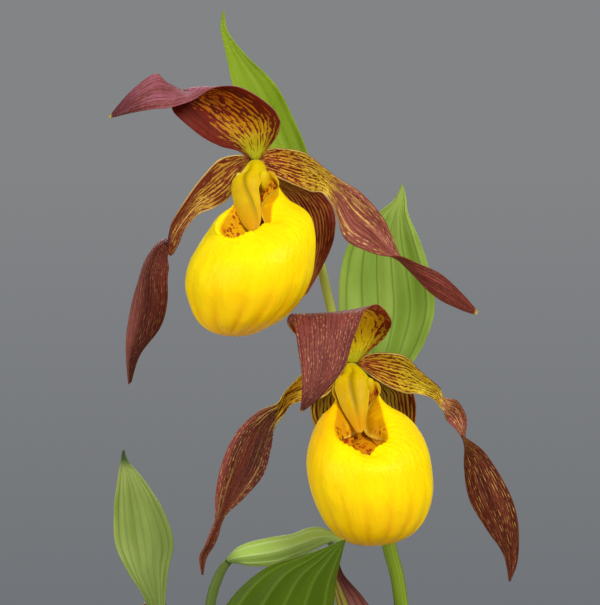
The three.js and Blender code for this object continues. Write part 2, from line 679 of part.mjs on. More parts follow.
const BRACT_NODDING = [
  [[-20.9, 2.6, 313.3], [-18.5, 2.6, 310.5], 1.6],
  [[-15.5, 2.4, 317.3], [-13, 2.4, 311], 2],
  [[-9, 2, 319], [-6, 2, 311.5], 2.4],
  [[-2.5, 2, 320], [-1.5, 2, 313.5], 2.4],
  [[1.5, 2, 321.5], [2.5, 2, 315], 2.2],
  [[5, 2, 322], [5.5, 2, 316.5], 1.8],
  [[8.5, 1.5, 321], [9, 1.5, 318], 1],
  [[12.5, 0, 318.5], [12.5, 0, 318], 0],
];
add(plant, 'bract_a', blade(BRACT_A, BRACT), FRESH_GREEN);
add(plant, 'bract_b', blade(BRACT_B, BRACT), LEAF_GREEN);
add(plant, 'bract_left', blade(BRACT_LEFT, BRACT), LEAF_GREEN);
add(plant, 'bract_nodding', blade(BRACT_NODDING, { ...BRACT, pleatDepth: 0.25 }), LEAF_GREEN);

// ---------- buds ----------

const BUD_LEFT = [
  [-39.8, 20.5, 287.2, 0.8],
  [-40.4, 23, 289, 2.2],
  [-41.6, 25.5, 292, 4.6],
  [-42, 26.6, 295.5, 4.8],
  [-42, 27, 298.5, 3.6],
  [-42, 27, 300.5, 0.4],
];
const BUD_NODDING = [
  [9.8, 4.4, 312.6, 1],
  [10.6, 4, 307.5, 2],
  [14, 4, 300, 4.2],
  [17.8, 4, 292, 5.2],
  [21.8, 4, 283.6, 3.8],
  [25, 4, 276, 0.4],
];
const BUD = { sides: 12, steps: 9, ridge: 0.06, ridges: 3 };
add(plant, 'bud_left', stalk(BUD_LEFT, BUD), OLIVE);
add(plant, 'bud_nodding', stalk(BUD_NODDING, BUD), OLIVE);

// ---------- stems ----------

add(plant, 'stem_main', stalk(MAIN_STEM, { sides: 10, steps: 22 }), FRESH_GREEN);
add(plant, 'stem_left', stalk(LEFT_STEM, { sides: 10, steps: 12 }), FRESH_GREEN);
add(plant, 'stem_nodding', stalk(NODDING_STEM, { sides: 10, steps: 26 }), FRESH_GREEN);

// ---------- stem leaves ----------

// Centre and radius of a stem at a height, found along its lower, rising part.
function stemAt(rows, z) {
  let low = 0;
  let high = 0.75;
  for (let k = 0; k < 30; k += 1) {
    const middle = (low + high) / 2;
    if (along(rows, middle)[2] < z) low = middle;
    else high = middle;
  }
  return along(rows, low);
}

// A broad clasping leaf: it hugs the stem at its foot, then arches away to its tip.
function stemLeaf(stem, z, azimuth, length, width, rise, fall) {
  const [x, y, , radius] = stemAt(stem, z);
  const turn = THREE.MathUtils.degToRad(azimuth);
  const out = new THREE.Vector3(Math.cos(turn), Math.sin(turn), 0);
  const across = new THREE.Vector3(-Math.sin(turn), Math.cos(turn), 0);
  const hug = (radius + LEAF_THICKNESS / 2 + CLASP_CLEARANCE) / CLASP_FLATTENING;
  const stations = 9;
  const fine = 12;
  const centre = new THREE.Vector3(x, y, z);
  const rows = [];
  for (let k = 0; k < stations; k += 1) {
    const s = k / (stations - 1);
    const grow = Math.sin(Math.PI * s ** 0.72) ** 0.85;
    const opening = Math.min(1, s / 0.3);
    const half = Math.max(hug * (1 - s / 0.5), 0) + (width / 2) * grow + 0.25;
    const sag = hug * (1 - opening) + 0.22 * half * opening;
    const left = centre.clone().addScaledVector(across, -half);
    const right = centre.clone().addScaledVector(across, half);
    rows.push([left.toArray(), right.toArray(), k === stations - 1 ? 0 : sag]);
    for (let i = 0; i < fine; i += 1) {
      const t = s + i / fine / (stations - 1);
      const bend = t < 0.12 ? 0 : ((t - 0.12) / 0.88) ** 0.9;
      const angle = THREE.MathUtils.degToRad(rise + (fall - rise) * bend);
      const step = length / fine / (stations - 1);
      centre.addScaledVector(out, step * Math.cos(angle));
      centre.z += step * Math.sin(angle);
    }
  }
  return rows;
}

// Name, stem, height on it, azimuth, length, width, first and last angle above level.
const STEM_LEAVES = [
  ['leaf_main_upper', MAIN_STEM, 236, 8, 104, 40, 78, -32],
  ['leaf_main_middle', MAIN_STEM, 190, 100, 120, 50, 80, -28],
  ['leaf_main_lower', MAIN_STEM, 150, -42, 112, 50, 76, -40],
  ['leaf_left_upper', LEFT_STEM, 222, 128, 96, 38, 78, -30],
  ['leaf_left_lower', LEFT_STEM, 165, 172, 110, 46, 76, -38],
  ['leaf_nodding_lower', NODDING_STEM, 178, -112, 108, 46, 76, -36],
];
const LEAF = {
  thickness: LEAF_THICKNESS,
  across: 10,
  steps: 11,
  pleats: 5,
  pleatDepth: 0.6,
  ripple: 0.8,
  ripples: 2,
};
for (const [name, ...plan] of STEM_LEAVES) {
  add(plant, name, blade(stemLeaf(...plan), LEAF), LEAF_GREEN);
}

const LEAF_FRONT = [
  [[-32.4, 0.4, 249], [-25, 0.4, 249], 3.6],
  [[-32.8, -1.2, 258], [-21.5, -2.8, 256], 3.5],
  [[-30, -8, 270], [-11, -9.5, 265], 3],
  [[-28, -14, 281], [-4, -15, 273], 3],
  [[-25, -19, 292.5], [4, -20, 284], 3],
  [[-19, -23, 303.5], [8.6, -23, 298], 2.5],
  [[-10.5, -25, 311.5], [9.8, -25, 308], 2],
  [[0, -26, 315.5], [11, -26, 314], 1],
  [[7, -26, 318], [12, -26, 318], 0.5],
  [[12, -26, 320], [12.5, -26, 320], 0],
];
add(plant, 'leaf_nodding_front', blade(LEAF_FRONT, { ...LEAF, pleatDepth: 0.4, ripple: 0 }), DARK_GREEN);

// A short papery sheath hugs the foot of each shoot and ends in a point on one side.
function sheath(stem, azimuth, length) {
  const [, , , radius] = stem[1];
  const turn = THREE.MathUtils.degToRad(azimuth);
  const hug = (radius + LEAF_THICKNESS / 2 + CLASP_CLEARANCE) / CLASP_FLATTENING;
  const foot = soilHeight(stem[1][0], stem[1][1]) + SHEATH_LIFT;
  const rows = [];
  for (let k = 0; k < 6; k += 1) {
    const s = k / 5;
    const [x, y, z] = stemAt(stem, foot + length * s);
    const offset = hug * s * s;
    const half = hug * Math.sqrt(1 - s * s) + 0.3;
    const place = [x + offset * Math.cos(turn), y + offset * Math.sin(turn)];
    const reach = [-Math.sin(turn) * half, Math.cos(turn) * half];
    rows.push([
      [place[0] - reach[0], place[1] - reach[1], z],
      [place[0] + reach[0], place[1] + reach[1], z],
      hug * (1 - s * s),
    ]);
  }
  return blade(rows, { thickness: LEAF_THICKNESS, across: 8, steps: 7 });
}
add(plant, 'sheath_main', sheath(MAIN_STEM, 150, 30), OLIVE);
add(plant, 'sheath_left', sheath(LEFT_STEM, -70, 26), OLIVE);
add(plant, 'sheath_nodding', sheath(NODDING_STEM, 60, 28), OLIVE);

add(plant, 'soil', soilSolid([MAIN_STEM, LEFT_STEM, NODDING_STEM]), EARTH);
add(plant, 'pot', potSolid(), CLAY);

export default plant;
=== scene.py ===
# Looks of the potted lady's-slipper orchid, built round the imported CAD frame.
# Rows of numbers are in millimetres, as in the part's source; meshes are in metres.
import math

import bpy
import numpy as np
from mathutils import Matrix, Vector

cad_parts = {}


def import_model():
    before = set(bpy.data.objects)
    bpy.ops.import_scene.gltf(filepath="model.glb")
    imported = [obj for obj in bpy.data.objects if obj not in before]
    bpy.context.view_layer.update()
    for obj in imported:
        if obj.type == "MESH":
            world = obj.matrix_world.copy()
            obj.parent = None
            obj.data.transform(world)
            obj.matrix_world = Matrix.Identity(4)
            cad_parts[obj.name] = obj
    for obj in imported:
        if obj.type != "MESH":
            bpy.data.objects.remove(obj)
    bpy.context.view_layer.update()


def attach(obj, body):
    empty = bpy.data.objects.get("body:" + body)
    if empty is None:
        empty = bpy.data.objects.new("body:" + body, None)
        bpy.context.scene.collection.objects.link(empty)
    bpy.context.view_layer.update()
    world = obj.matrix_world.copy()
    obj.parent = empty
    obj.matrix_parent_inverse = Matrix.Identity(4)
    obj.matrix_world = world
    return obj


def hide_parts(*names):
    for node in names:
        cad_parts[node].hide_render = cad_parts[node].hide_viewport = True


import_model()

MM = 0.001

# ---------- driving sizes (mm), the same as the part's ----------
POT_HEIGHT, POT_FOOT, POT_RIM, POT_RIM_HEIGHT = 130, 52, 80, 26
POT_WALL, POT_FLOOR, POT_EDGE, POT_RIM_STEP, POT_RIM_WIDTH = 5.5, 7, 2, 6.5, 6
SOIL_LEVEL = 118
PETAL_THICKNESS, LEAF_THICKNESS, LIP_WALL = 0.6, 0.7, 0.8
LIP_PLEATS = 15
FLOWER_A, FLOWER_B = (-12.5, 0, 425), (15, 0, 368)

# ---------- the photograph's camera ----------
# The picture's size is in pixels, and PIXEL is how many millimetres one shows at the flowers.
PHOTO_WIDTH, PHOTO_HEIGHT = 600, 605
PIXEL = 0.28
# In millimetres.
VIEW_DISTANCE, VIEW_HEIGHT, SENSOR = 1200, 385, 36
# In metres.
CLIP_RANGE = (0.05, 20)

# ---------- how finely the pieces are built ----------
PETAL_ACROSS, LEAF_ACROSS, BLADE_STEPS, SHEATH_GRID = 24, 48, 110, (32, 40)
# How far on either side a curve is read for its direction.
BLADE_NUDGE, STALK_NUDGE = 0.004, 0.01
# How deep light goes into a pouch, in metres.
LIP_DEPTH = 0.0006

# ---------- stems: x, y, z, radius ----------
MAIN_STEM = [
    (43.5, 10, 96, 3.1), (43.5, 10, 118, 3.1), (41, 11, 165, 2.8), (36.5, 12, 215, 2.5),
    (32.5, 13, 260, 2.2), (28.5, 14, 301, 2), (25, 14, 317, 2), (17.3, 14, 349, 1.8), (13, 14, 366, 1.4),
    (8.8, 14, 383, 1.3), (3.3, 14, 406.5, 1.3),
]
LEFT_STEM = [
    (-31, 24, 96, 2.7), (-31, 24, 118, 2.7), (-36, 24, 175, 2.3), (-39.5, 22.5, 235, 1.9),
    (-40, 20.5, 270, 1.6), (-39.5, 20, 286, 1.3),
]
NODDING_STEM = [
    (-20.5, -12, 96, 2.8), (-20.5, -12, 118, 2.8), (-24, -9, 170, 2.5), (-28, -3, 220, 2.2),
    (-28.8, 1, 260, 1.9), (-27, 3, 286, 1.6), (-25.2, 3, 300, 1.45), (-23.3, 3, 307, 1.4),
    (-20.4, 3.6, 312, 1.1), (-16, 4.4, 314.5, 0.8), (-7, 4.4, 315.5, 0.8), (2, 4.4, 318, 0.8),
    (7.5, 4.4, 318.3, 0.8), (9.3, 4.4, 315.5, 0.9), (9.6, 4.4, 313, 1),
]
STEMS = (MAIN_STEM, LEFT_STEM, NODDING_STEM)


# ---------- curves and meshes ----------

def spline(a, b, c, d, f):
    """Place at the fraction f between b and c, on the smooth curve through all four."""
    return b + 0.5 * f * (c - a + f * (2 * a - 5 * b + 4 * c - d + f * (3 * (b - c) + d - a)))


def along(rows, t):
    """Smooth curve through rows of numbers, at each t from 0 to 1."""
    rows = np.asarray(rows, float)
    last = len(rows) - 1
    place = np.clip(np.atleast_1d(t), 0, 1) * last
    i = np.minimum(place.astype(int), last - 1)
    before, after = np.maximum(i - 1, 0), np.minimum(i + 2, last)
    return spline(rows[before], rows[i], rows[i + 1], rows[after], (place - i)[:, None])


def round_curve(points, samples):
    """Smooth closed curve through points."""
    place = np.arange(samples) * len(points) / samples
    i = place.astype(int)
    return spline(*(points[(i + k) % len(points)] for k in (-1, 0, 1, 2)), (place - i)[:, None])


def smooth(x, low, high):
    """0 at low and 1 at high, with a soft start and end."""
    t = np.clip((x - low) / (high - low), 0, 1)
    return t * t * (3 - 2 * t)


def unit(v):
    return v / np.maximum(np.linalg.norm(v, axis=-1, keepdims=True), 1e-9)


def circle(sides):
    return 2 * np.pi * np.arange(sides) / sides


class Shape:
    """Grids of points gathered into one mesh, with texture coordinates and material slots."""

    def __init__(self):
        self.points, self.faces, self.uvs, self.slots = [], [], [], []
        self.count = 0

    def loft(self, rings, ring_u=None, ring_v=None, slots=0, strip=False):
        """Closed tube through rings. ring_u has one value more than a ring has points.

        slots is one material slot, or one for each point of a ring. The ends are closed with
        a strip from side to side or with a fan.
        """
        rows, columns = rings.shape[:2]
        ring_u = np.arange(columns + 1) / columns if ring_u is None else ring_u
        ring_v = np.linspace(0, 1, rows) if ring_v is None else ring_v
        r, c = columns * np.arange(rows - 1)[:, None], np.arange(columns)
        n = (c + 1) % columns
        faces = np.stack([r + c, r + n, r + columns + n, r + columns + c], -1).reshape(-1, 4)
        u, v = np.broadcast_arrays(ring_u, ring_v[:, None])
        grid = np.stack([u, v], -1)
        uvs = np.stack([grid[:-1, :-1], grid[:-1, 1:], grid[1:, 1:], grid[1:, :-1]], -2).reshape(-1, 4, 2)
        slots = np.broadcast_to(slots, (rows - 1, columns)).reshape(-1)
        points = rings.reshape(-1, 3)
        for ring in (0, rows - 1):
            base = ring * columns + np.arange(columns)
            if strip:
                near, far = base[:columns // 2], base[::-1][:columns // 2]
                lid = [near[:-1], far[:-1], far[1:], near[1:]][::-1 if ring else 1]
            else:
                pole, after = np.full(columns, len(points)), np.roll(base, -1)
                points = np.vstack([points, rings[ring].mean(0)])
                lid = [pole, base, after, after] if ring else [pole, after, base, base]
            lid = np.stack(lid, -1)
            faces = np.vstack([faces, lid])
            uvs = np.concatenate([uvs, np.broadcast_to((0.5, ring_v[ring]), (len(lid), 4, 2))])
            slots = np.append(slots, np.full(len(lid), slots[0]))
        a, b, c, d = (points[faces[:, k]] for k in range(4))
        if (a * (np.cross(b, c) + np.cross(c, d))).sum() < 0:
            faces, uvs = faces[:, ::-1], uvs[:, ::-1]
        self.points.append(points)
        self.faces.append(faces + self.count)
        self.uvs.append(uvs)
        self.slots.append(slots)
        self.count += len(points)

    def build(self, node, looks):
        """Makes the piece that stands for one of the part's nodes; looks are names of materials."""
        polygons, corners = [], []
        for face, uv in zip(np.vstack(self.faces).tolist(), np.concatenate(self.uvs)):
            keep = [k for k in range(4) if face[k] not in face[:k]]
            polygons.append([face[k] for k in keep])
            corners.append(uv[keep])
        mesh = bpy.data.meshes.new(f"{node}_look")
        mesh.from_pydata((np.vstack(self.points) * MM).tolist(), [], polygons)
        mesh.uv_layers.new(name="UVMap").data.foreach_set("uv", np.concatenate(corners).ravel())
        for look in looks:
            mesh.materials.append(LOOKS[look])
        mesh.polygons.foreach_set("material_index", np.concatenate(self.slots).tolist())
        mesh.polygons.foreach_set("use_smooth", [True] * len(polygons))
        mesh.update()
        piece = bpy.data.objects.new(f"{node}_look", mesh)
        bpy.context.scene.collection.objects.link(piece)
        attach(piece, "root")
        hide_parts(node)
        return piece


def blade_rings(rows, across, steps, relief, rounded=False):
    """Rings round a thin blade: one side from left to right, then the other side back.

    A row is the left margin, the right margin, the sag between them and the thickness. The
    margins are thin, or round where rounded.
    """
    v, u = np.linspace(0, 1, steps + 1), np.linspace(-1, 1, across + 1)
    at = along(rows, v)
    change = along(rows, v + BLADE_NUDGE) - along(rows, v - BLADE_NUDGE)
    half, centre = (at[:, 3:6] - at[:, :3]) / 2, (at[:, 3:6] + at[:, :3]) / 2
    normal = unit(np.cross(half, change[:, :3] + change[:, 3:6]))
    rise = at[:, 6:7] * (1 - u ** 2)
    if relief:
        rise = rise + relief(u, v[:, None], np.linalg.norm(half, axis=1)[:, None])
    sheet = centre[:, None] + half[:, None] * u[:, None] + normal[:, None] * rise[..., None]
    out = unit(np.cross(np.gradient(sheet, axis=1), np.gradient(sheet, axis=0)))
    profile = 0.15 + 0.85 * np.sqrt(1 - np.abs(u) ** 2.4) if rounded else 1 - 0.7 * u ** 4
    thick = out * (at[:, 7:8] * profile / 2)[..., None]
    return np.concatenate([sheet + thick, (sheet - thick)[:, ::-1]], axis=1), u, v


def blade(node, rows, thickness, looks, slot, relief, across, steps=BLADE_STEPS, place=(0, 0, 0),
          inner_first=True):
    """Builds a blade of rows without thickness; inner_first puts its inner side first in a ring."""
    rings, u, v = blade_rings([[*row, thickness] for row in rows], across, steps, relief)
    u = (u + 1) / 2
    sides = (0, len(looks) - 1) if inner_first else (1, 0)
    shape = Shape()
    shape.loft(rings + np.array(place), np.concatenate([u, u[::-1], u[:1]]), v,
               np.repeat(sides, (across, across + 2)), strip=True)
    shape.build(node, looks)


def stalk(shape, rows, sides=24, steps=80, ridge=0.0, bumps=0.0):
    """Adds a stem through rows of x, y, z, radius, with three ridges and low bumps."""
    t = np.linspace(0, 1, steps + 1)
    at = along(rows, t)
    tangent = unit((along(rows, t + STALK_NUDGE) - along(rows, t - STALK_NUDGE))[:, :3])
    turn = np.zeros((steps + 1, 3))
    guide = np.array([1.0, 0, 0])
    for k in range(steps + 1):
        guide = unit(guide - tangent[k] * guide.dot(tangent[k]))
        turn[k] = guide
    angle = circle(sides)
    radius = at[:, 3:4] * (1 + ridge * np.cos(3 * angle))
    radius = radius * (1 + bumps * np.sin(t * 37)[:, None] * np.sin(3 * angle + 1))
    rings = at[:, None, :3] + turn[:, None] * (radius * np.cos(angle))[..., None]
    shape.loft(rings + np.cross(tangent, turn)[:, None] * (radius * np.sin(angle))[..., None])


# ---------- materials ----------
LOOKS = {}


def srgb(code):
    """Linear colour from a screen colour, such as "#7a3a20"."""
    shares = (int(code[k:k + 2], 16) / 255 for k in (1, 3, 5))
    return tuple(c / 12.92 if c < 0.04045 else ((c + 0.055) / 1.055) ** 2.4 for c in shares) + (1.0,)


class Wire:
    """An output of a node. Sums with it add math nodes."""

    def __init__(self, nodes, socket):
        self.nodes, self.socket = nodes, socket

    def __add__(self, other):
        return self.nodes.math("ADD", self, other)

    def __sub__(self, other):
        return self.nodes.math("SUBTRACT", self, other)

    def __rsub__(self, other):
        return self.nodes.math("SUBTRACT", other, self)

    def __mul__(self, other):
        return self.nodes.math("MULTIPLY", self, other)

    def __abs__(self):
        return self.nodes.math("ABSOLUTE", self)


class Nodes:
    """Fills a node tree. An input is a wire, a number, a vector or a screen colour."""

    def __init__(self, tree):
        self.tree = tree
        tree.nodes.clear()

    def add(self, kind, inputs, output=0, **settings):
        """Adds a node, and gives one of its outputs if it has any."""
        node = self.tree.nodes.new("ShaderNode" + kind)
        for name, value in settings.items():
            setattr(node, name, value)
        self.feed(node, inputs)
        return Wire(self, node.outputs[output]) if node.outputs else None

    def feed(self, node, inputs):
        for name, value in inputs.items():
            if isinstance(value, Wire):
                self.tree.links.new(value.socket, node.inputs[name])
            else:
                node.inputs[name].default_value = srgb(value) if isinstance(value, str) else value

    def math(self, operation, *values):
        return self.add("Math", dict(enumerate(values)), operation=operation)

    def mix(self, factor, first, second):
        return self.add("Mix", {0: factor, 6: first, 7: second}, 2, data_type="RGBA")


class Paint(Nodes):
    """One material. u runs across a piece, v along it, and place is where a point is."""

    def __init__(self, name, roughness, subsurface=0.0, specular=0.5, depth=0.002, tints=(1.0, 0.6, 0.25)):
        self.material = LOOKS[name] = bpy.data.materials.new(name)
        self.material.use_nodes = True
        super().__init__(self.material.node_tree)
        shader = self.add("BsdfPrincipled", {
            "Roughness": roughness, "Specular IOR Level": specular, "Subsurface Weight": subsurface,
            "Subsurface Scale": depth, "Subsurface Radius": tints})
        self.shader = shader.socket.node
        self.add("OutputMaterial", {0: shader})
        uv = self.add("UVMap", {}, uv_map="UVMap")
        self.u, self.v = (self.add("SeparateXYZ", {0: uv}, k) for k in (0, 1))
        self.place = self.add("TexCoord", {}, "Object")

    def step(self, value, low, high, start=0.0, end=1.0):
        """Smooth change from start to end as value goes from low to high."""
        return self.add("MapRange", {"Value": value, "From Min": low, "From Max": high, "To Min": start,
                                     "To Max": end}, interpolation_type="SMOOTHSTEP")

    def vector(self, x, y, z=0.0):
        return self.add("CombineXYZ", {0: x, 1: y, 2: z})

    def noise(self, vector, scale, detail=2, roughness=0.5, distortion=0.0):
        return self.add("TexNoise", {"Vector": vector, "Scale": scale, "Detail": detail,
                                     "Roughness": roughness, "Distortion": distortion})

    def cells(self, vector, scale):
        return self.add("TexVoronoi", {"Vector": vector, "Scale": scale}, "Distance")

    def drawn_out(self, share):
        """Place in the piece, with its patterns drawn out upwards."""
        return self.add("VectorMath", {0: self.place, 1: (1, 1, share)}, operation="MULTIPLY")

    def streaks(self, across, lengthwise, detail=2, seed=0):
        """Noise drawn out along the blade."""
        return self.noise(self.vector(self.u * across + seed, self.v * lengthwise, seed), 1, detail)

    def saw(self, count, drift):
        """0 on each of count lines that run lengthwise, and 0.5 midway between them."""
        return abs(self.math("FRACT", (self.u + drift) * count) - 0.5)

    def lines(self, count, sharp, wander=0.02, seed=0):
        """1 on each of count lines that run lengthwise, 0 between them."""
        return self.step(self.saw(count, (self.streaks(3, 8, seed=seed) - 0.5) * wander), sharp, 0)

    def patches(self, across, lengthwise, low, high, detail=2, seed=0):
        return self.step(self.streaks(across, lengthwise, detail, seed), low, high)

    def clouds(self, scale, low, high, detail=3):
        return self.step(self.noise(self.place, scale, detail), low, high)

    def coat(self, share, colour):
        """Lays a share of a colour over the one so far."""
        self.colour = self.mix(share, self.colour, colour)

    def finish(self, height=None, distance=0.0, strength=1.0):
        """Closes the material, with height as its bumps."""
        self.feed(self.shader, {"Base Color": self.colour})
        if height:
            self.feed(self.shader, {"Normal": self.add("Bump", {
                "Height": height, "Distance": distance, "Strength": strength})})


def petal_inner(name, near, far, vein, deep, net, level, lines=10, wander=0.12, green=None, margins=None,
                margin_colour=None, late=None, late_colours=("#904b43", "#76362e"), bare=None,
                blush=None, rim=0.0, flecks=0.5, fleck_scale=1):
    """Inner side of a petal or sepal: a net of dark broken lines over a lighter ground.

    net is how many marks lie across and along, how they swirl and how far lines rule them.
    level is how much ground shows at the base and at the length that comes third: half of
    it at 0.5. margins darken the left and the right margin, past the length that comes
    third. late is the length where the net gives way to another colour with long yellow
    lines, which bare keeps off a band, and which blush tints at its left margin.
    """
    p = Paint(name, 0.5, subsurface=0.1, specular=0.1)
    across, length, swirl, ruled = net
    base, tip, reach = level
    peak = 1 - p.saw(lines, (p.streaks(5, 9, detail=3, seed=9) - 0.5) * wander) * 2
    mesh = p.noise(p.vector(p.u * across, p.v * length), 1, detail=3, distortion=swirl)
    fine = p.streaks(2.2 * across, 1.6 * length, seed=4)
    dark = mesh * 0.78 + fine * 0.22 + peak * ruled - ruled / 2
    edge = abs(p.u - 0.5) * 2
    level = p.step(p.v, 0, reach, base, tip)
    if margins:
        left, right, start = margins
        rims = p.math("MAXIMUM", p.step(p.u, 0.36, 0.02, 0, left), p.step(p.u, 0.74, 0.98, 0, right))
        rims = rims * p.step(p.v, start, start + 0.12)
        level = level - rims * 0.3
    p.colour = p.mix(p.step(p.v, 0.08, reach), near, far)
    p.coat(p.step(fine, 0.4, 0.62) * 0.22, deep)
    if green:
        p.coat(p.step(p.v, green, 0.02), "#a09c00")
    p.coat(p.step(dark, level - 0.02, level + 0.02), p.mix(p.patches(7, 6, 0.38, 0.62, seed=1), vein, deep))
    if margins:
        p.coat(rims * 0.9, margin_colour)
    if late:
        mauve = p.mix(p.patches(9, 6, 0.36, 0.64, seed=2), *late_colours)
        mauve = p.mix(p.lines(17, 0.16, wander=0.05, seed=3) * 0.3, mauve, deep)
        p.coat(p.step(p.v + mesh * 0.24, late + 0.08, late + 0.16), mauve)
        long_lines = p.lines(8, 0.3, wander=0.1, seed=6) * p.patches(10, 5, 0.47, 0.58, seed=11)
        long_lines = long_lines * p.step(p.v, late - 0.06, late + 0.02) * p.step(edge, 0.95, 0.6)
        if bare:
            away, width = abs(p.u - bare[0]), bare[1]
            long_lines = long_lines * p.step(away, width, 2 * width, 0.15, 1)
        p.coat(long_lines * p.step(p.v, late + 0.3, late + 0.1, 0.25, 0.9), "#d2ac50")
    if blush:
        p.coat(p.step(p.u, 0.22, 0.05, 0, 0.85) * p.step(p.v, late, late + 0.06), blush)
    # Farther on, mostly rows of small pale flecks are left.
    speck = p.lines(11 * fleck_scale, 0.4, wander=0.08, seed=5) * p.step(
        p.streaks(40 * fleck_scale, 50 * fleck_scale, detail=1, seed=7), 0.53, 0.6)
    speck = speck * p.step(p.v, reach * 0.4, reach, 0, flecks)
    if bare:
        speck = speck * p.step(away, width, 2 * width, 0.2, 1)
    p.coat(speck, "#e0ba70")
    if rim:
        p.coat(p.step(edge, 0.9, 0.98, 0, rim) * p.step(p.v, late + 0.12, late), "#dabc68")
    p.finish(fine * 0.8 - peak * 0.5, 0.0004, 0.6)


def petal_outer(name, base, vein, deep, fleck_colour, flecks, veins=9, ribs=0.7, darken=(2, 3), fine=1,
                midrib=0.0, blush=None, streaked=None, tip=None):
    """Outer side of a petal or sepal: dull, with dark parallel veins and rows of pale flecks.

    darken is where along it the colour turns deep, blush tints the second margin, and
    streaked is the length up to which there are long yellow lines.
    """
    p = Paint(name, 0.55, subsurface=0.1, specular=0.1)
    soft = p.lines(veins, 0.5, wander=0.07)
    broken = p.patches(8, 9, 0.36, 0.62, detail=3, seed=3)
    speck = p.lines(veins * 1.8, 0.4, wander=0.08, seed=5) * p.step(
        p.streaks(44 * fine, 46 * fine, detail=3, seed=5), 0.5, 0.61)
    patch = p.step(p.streaks(4, 6, seed=8), 0.34, 0.52, 0.15, 1)
    p.colour = p.mix(p.patches(5, 6, 0.36, 0.64, detail=3, seed=2), base, vein)
    p.coat(soft * 0.12, deep)
    p.coat(p.lines(veins, 0.12, wander=0.07) * broken * ribs, deep)
    p.coat(p.step(abs(p.u - 0.5), 0.035, 0, 0, midrib), deep)
    p.coat(p.step(p.v, *darken, 0, 0.75), deep)
    if blush:
        p.coat(p.step(p.u, 0.55, 1, 0, 0.85), blush)
    if streaked:
        long_lines = p.lines(9, 0.34, wander=0.08, seed=6) * p.patches(9, 7, 0.44, 0.54, seed=11)
        p.coat(long_lines * p.step(p.v, streaked, streaked - 0.15, 0, 0.6), "#be943c")
    p.coat(speck * patch * flecks, fleck_colour)
    if tip:
        p.coat(p.step(p.v, 0.975, 0.995), tip)
    p.finish(soft * -0.6 + p.streaks(30, 30) * 0.8, 0.0004, 0.7)


def lip_paint(name, marks, inner, painted_shade_left=0.0):
    """Yellow pouch: v is 1 at its crest, 1.1 at the free margin of the lobes and more inside.

    marks says where round the mouth the red marks are: a place, and the distances from it
    at which they begin and are full. inner is the colour deep inside.
    """
    p = Paint(name, 0.45, subsurface=0.4, specular=0.08, depth=LIP_DEPTH, tints=(1.0, 0.5, 0.06))
    pleat = p.lines(LIP_PLEATS, 0.5, wander=0.05)
    low = p.step(p.v, 0.66, 0.25)
    grain = p.patches(70, 9, 0.4, 0.66, detail=3, seed=2)
    p.colour = p.mix(p.clouds(90, 0.3, 0.7), "#ffdd00", "#fed200")
    p.coat(grain * 0.2, "#fac400")
    # Painted shade: deeper orange-yellow on the pouch's left side, strongest towards the mouth, where the
    # pouch lies in shade.
    if painted_shade_left:
        left = p.step(abs(p.u - 0.72), 0.2, 0.06) * painted_shade_left
        p.coat(left * p.step(p.v, 0.5, 0.85, 0.4, 1), "#ecb000")
    # Painted shade: the pouch turns deeper orange towards its bottom, its pleat grooves are darkened there,
    # and the very bottom gets a deeper orange band.
    p.coat(low * 0.55, "#fab600")
    p.coat(p.math("POWER", pleat, 3) * low * 0.4, "#e08a00")
    p.coat(p.step(p.v, 0.34, 0.08, 0, 0.7), "#dc9200")
    # Past the crest the lobes and the inside are gold. This is partly their own colour and partly painted
    # shade where the wall turns in away from the light, and the olive gold at the back under the column is
    # painted shade.
    gold = p.mix(p.clouds(260, 0.35, 0.65), "#d69c00", "#c88a00")
    gold = p.mix(p.step(abs(p.u - 0.5), 0.16, 0.12) * 0.8, gold, "#be9208")
    gold = p.mix(p.step(abs(p.v - 1.1), 0.025, 0, 0, 0.8), gold, "#f8d646")
    deep = p.step(p.v, 1.12, 1.2)
    side = p.step(abs(p.u - marks[0]), marks[1], marks[2])
    patchy = p.clouds(300, 0.38, 0.46, detail=1)
    dashes = p.step(p.noise(p.drawn_out(0.5), 1300, detail=1), 0.56, 0.61) * p.step(p.v, 1, 1.14)
    dots = p.math("MAXIMUM", p.step(p.cells(p.drawn_out(0.55), 800), 0.44, 0.34), dashes)
    dots = dots * patchy * p.math("MAXIMUM", side, deep) * p.step(p.v, 1.005, 1.03, 0, 0.9)
    p.coat(p.step(p.v, 0.992, 1.012), p.mix(dots, p.mix(deep, gold, inner), "#922206"))
    relief = p.noise(p.place, 300, detail=3) - pleat * low * 0.8 + grain * 0.25
    p.finish(relief, 0.0006, 0.5)


def column_paint():
    """Staminode and anthers: gold, with olive painted shade along the groove where u is 0.5, and a pale
    painted highlight along the margins.
    """
    p = Paint("column_gold", 0.48, subsurface=0.4, specular=0.1, depth=LIP_DEPTH, tints=(1.0, 0.7, 0.08))
    middle = abs(p.u - 0.5)
    p.colour = p.mix(p.clouds(200, 0.35, 0.65, detail=2), "#cea800", "#c69d00")
    p.coat(p.step(p.v, 0.5, 0.2, 0, 0.8), "#d0b600")
    p.coat(p.step(p.v, 0.16, 0.02, 0, 0.8), "#c0b42c")
    p.coat(p.step(p.v, 0.55, 0.9, 0, 0.9), "#ca8c00")
    # Painted highlight: pale yellow along both margins.
    p.coat(p.step(middle, 0.44, 0.5, 0, 0.6), "#f6d43c")
    # Painted shade: the groove is darkened to olive.
    groove = p.step(middle, 0.17, 0.02) * p.step(p.v, 0.08, 0.28) * p.step(p.v, 0.9, 0.6)
    p.coat(groove * 0.85, "#927600")
    p.finish(p.noise(p.place, 700), 0.0002, 0.3)


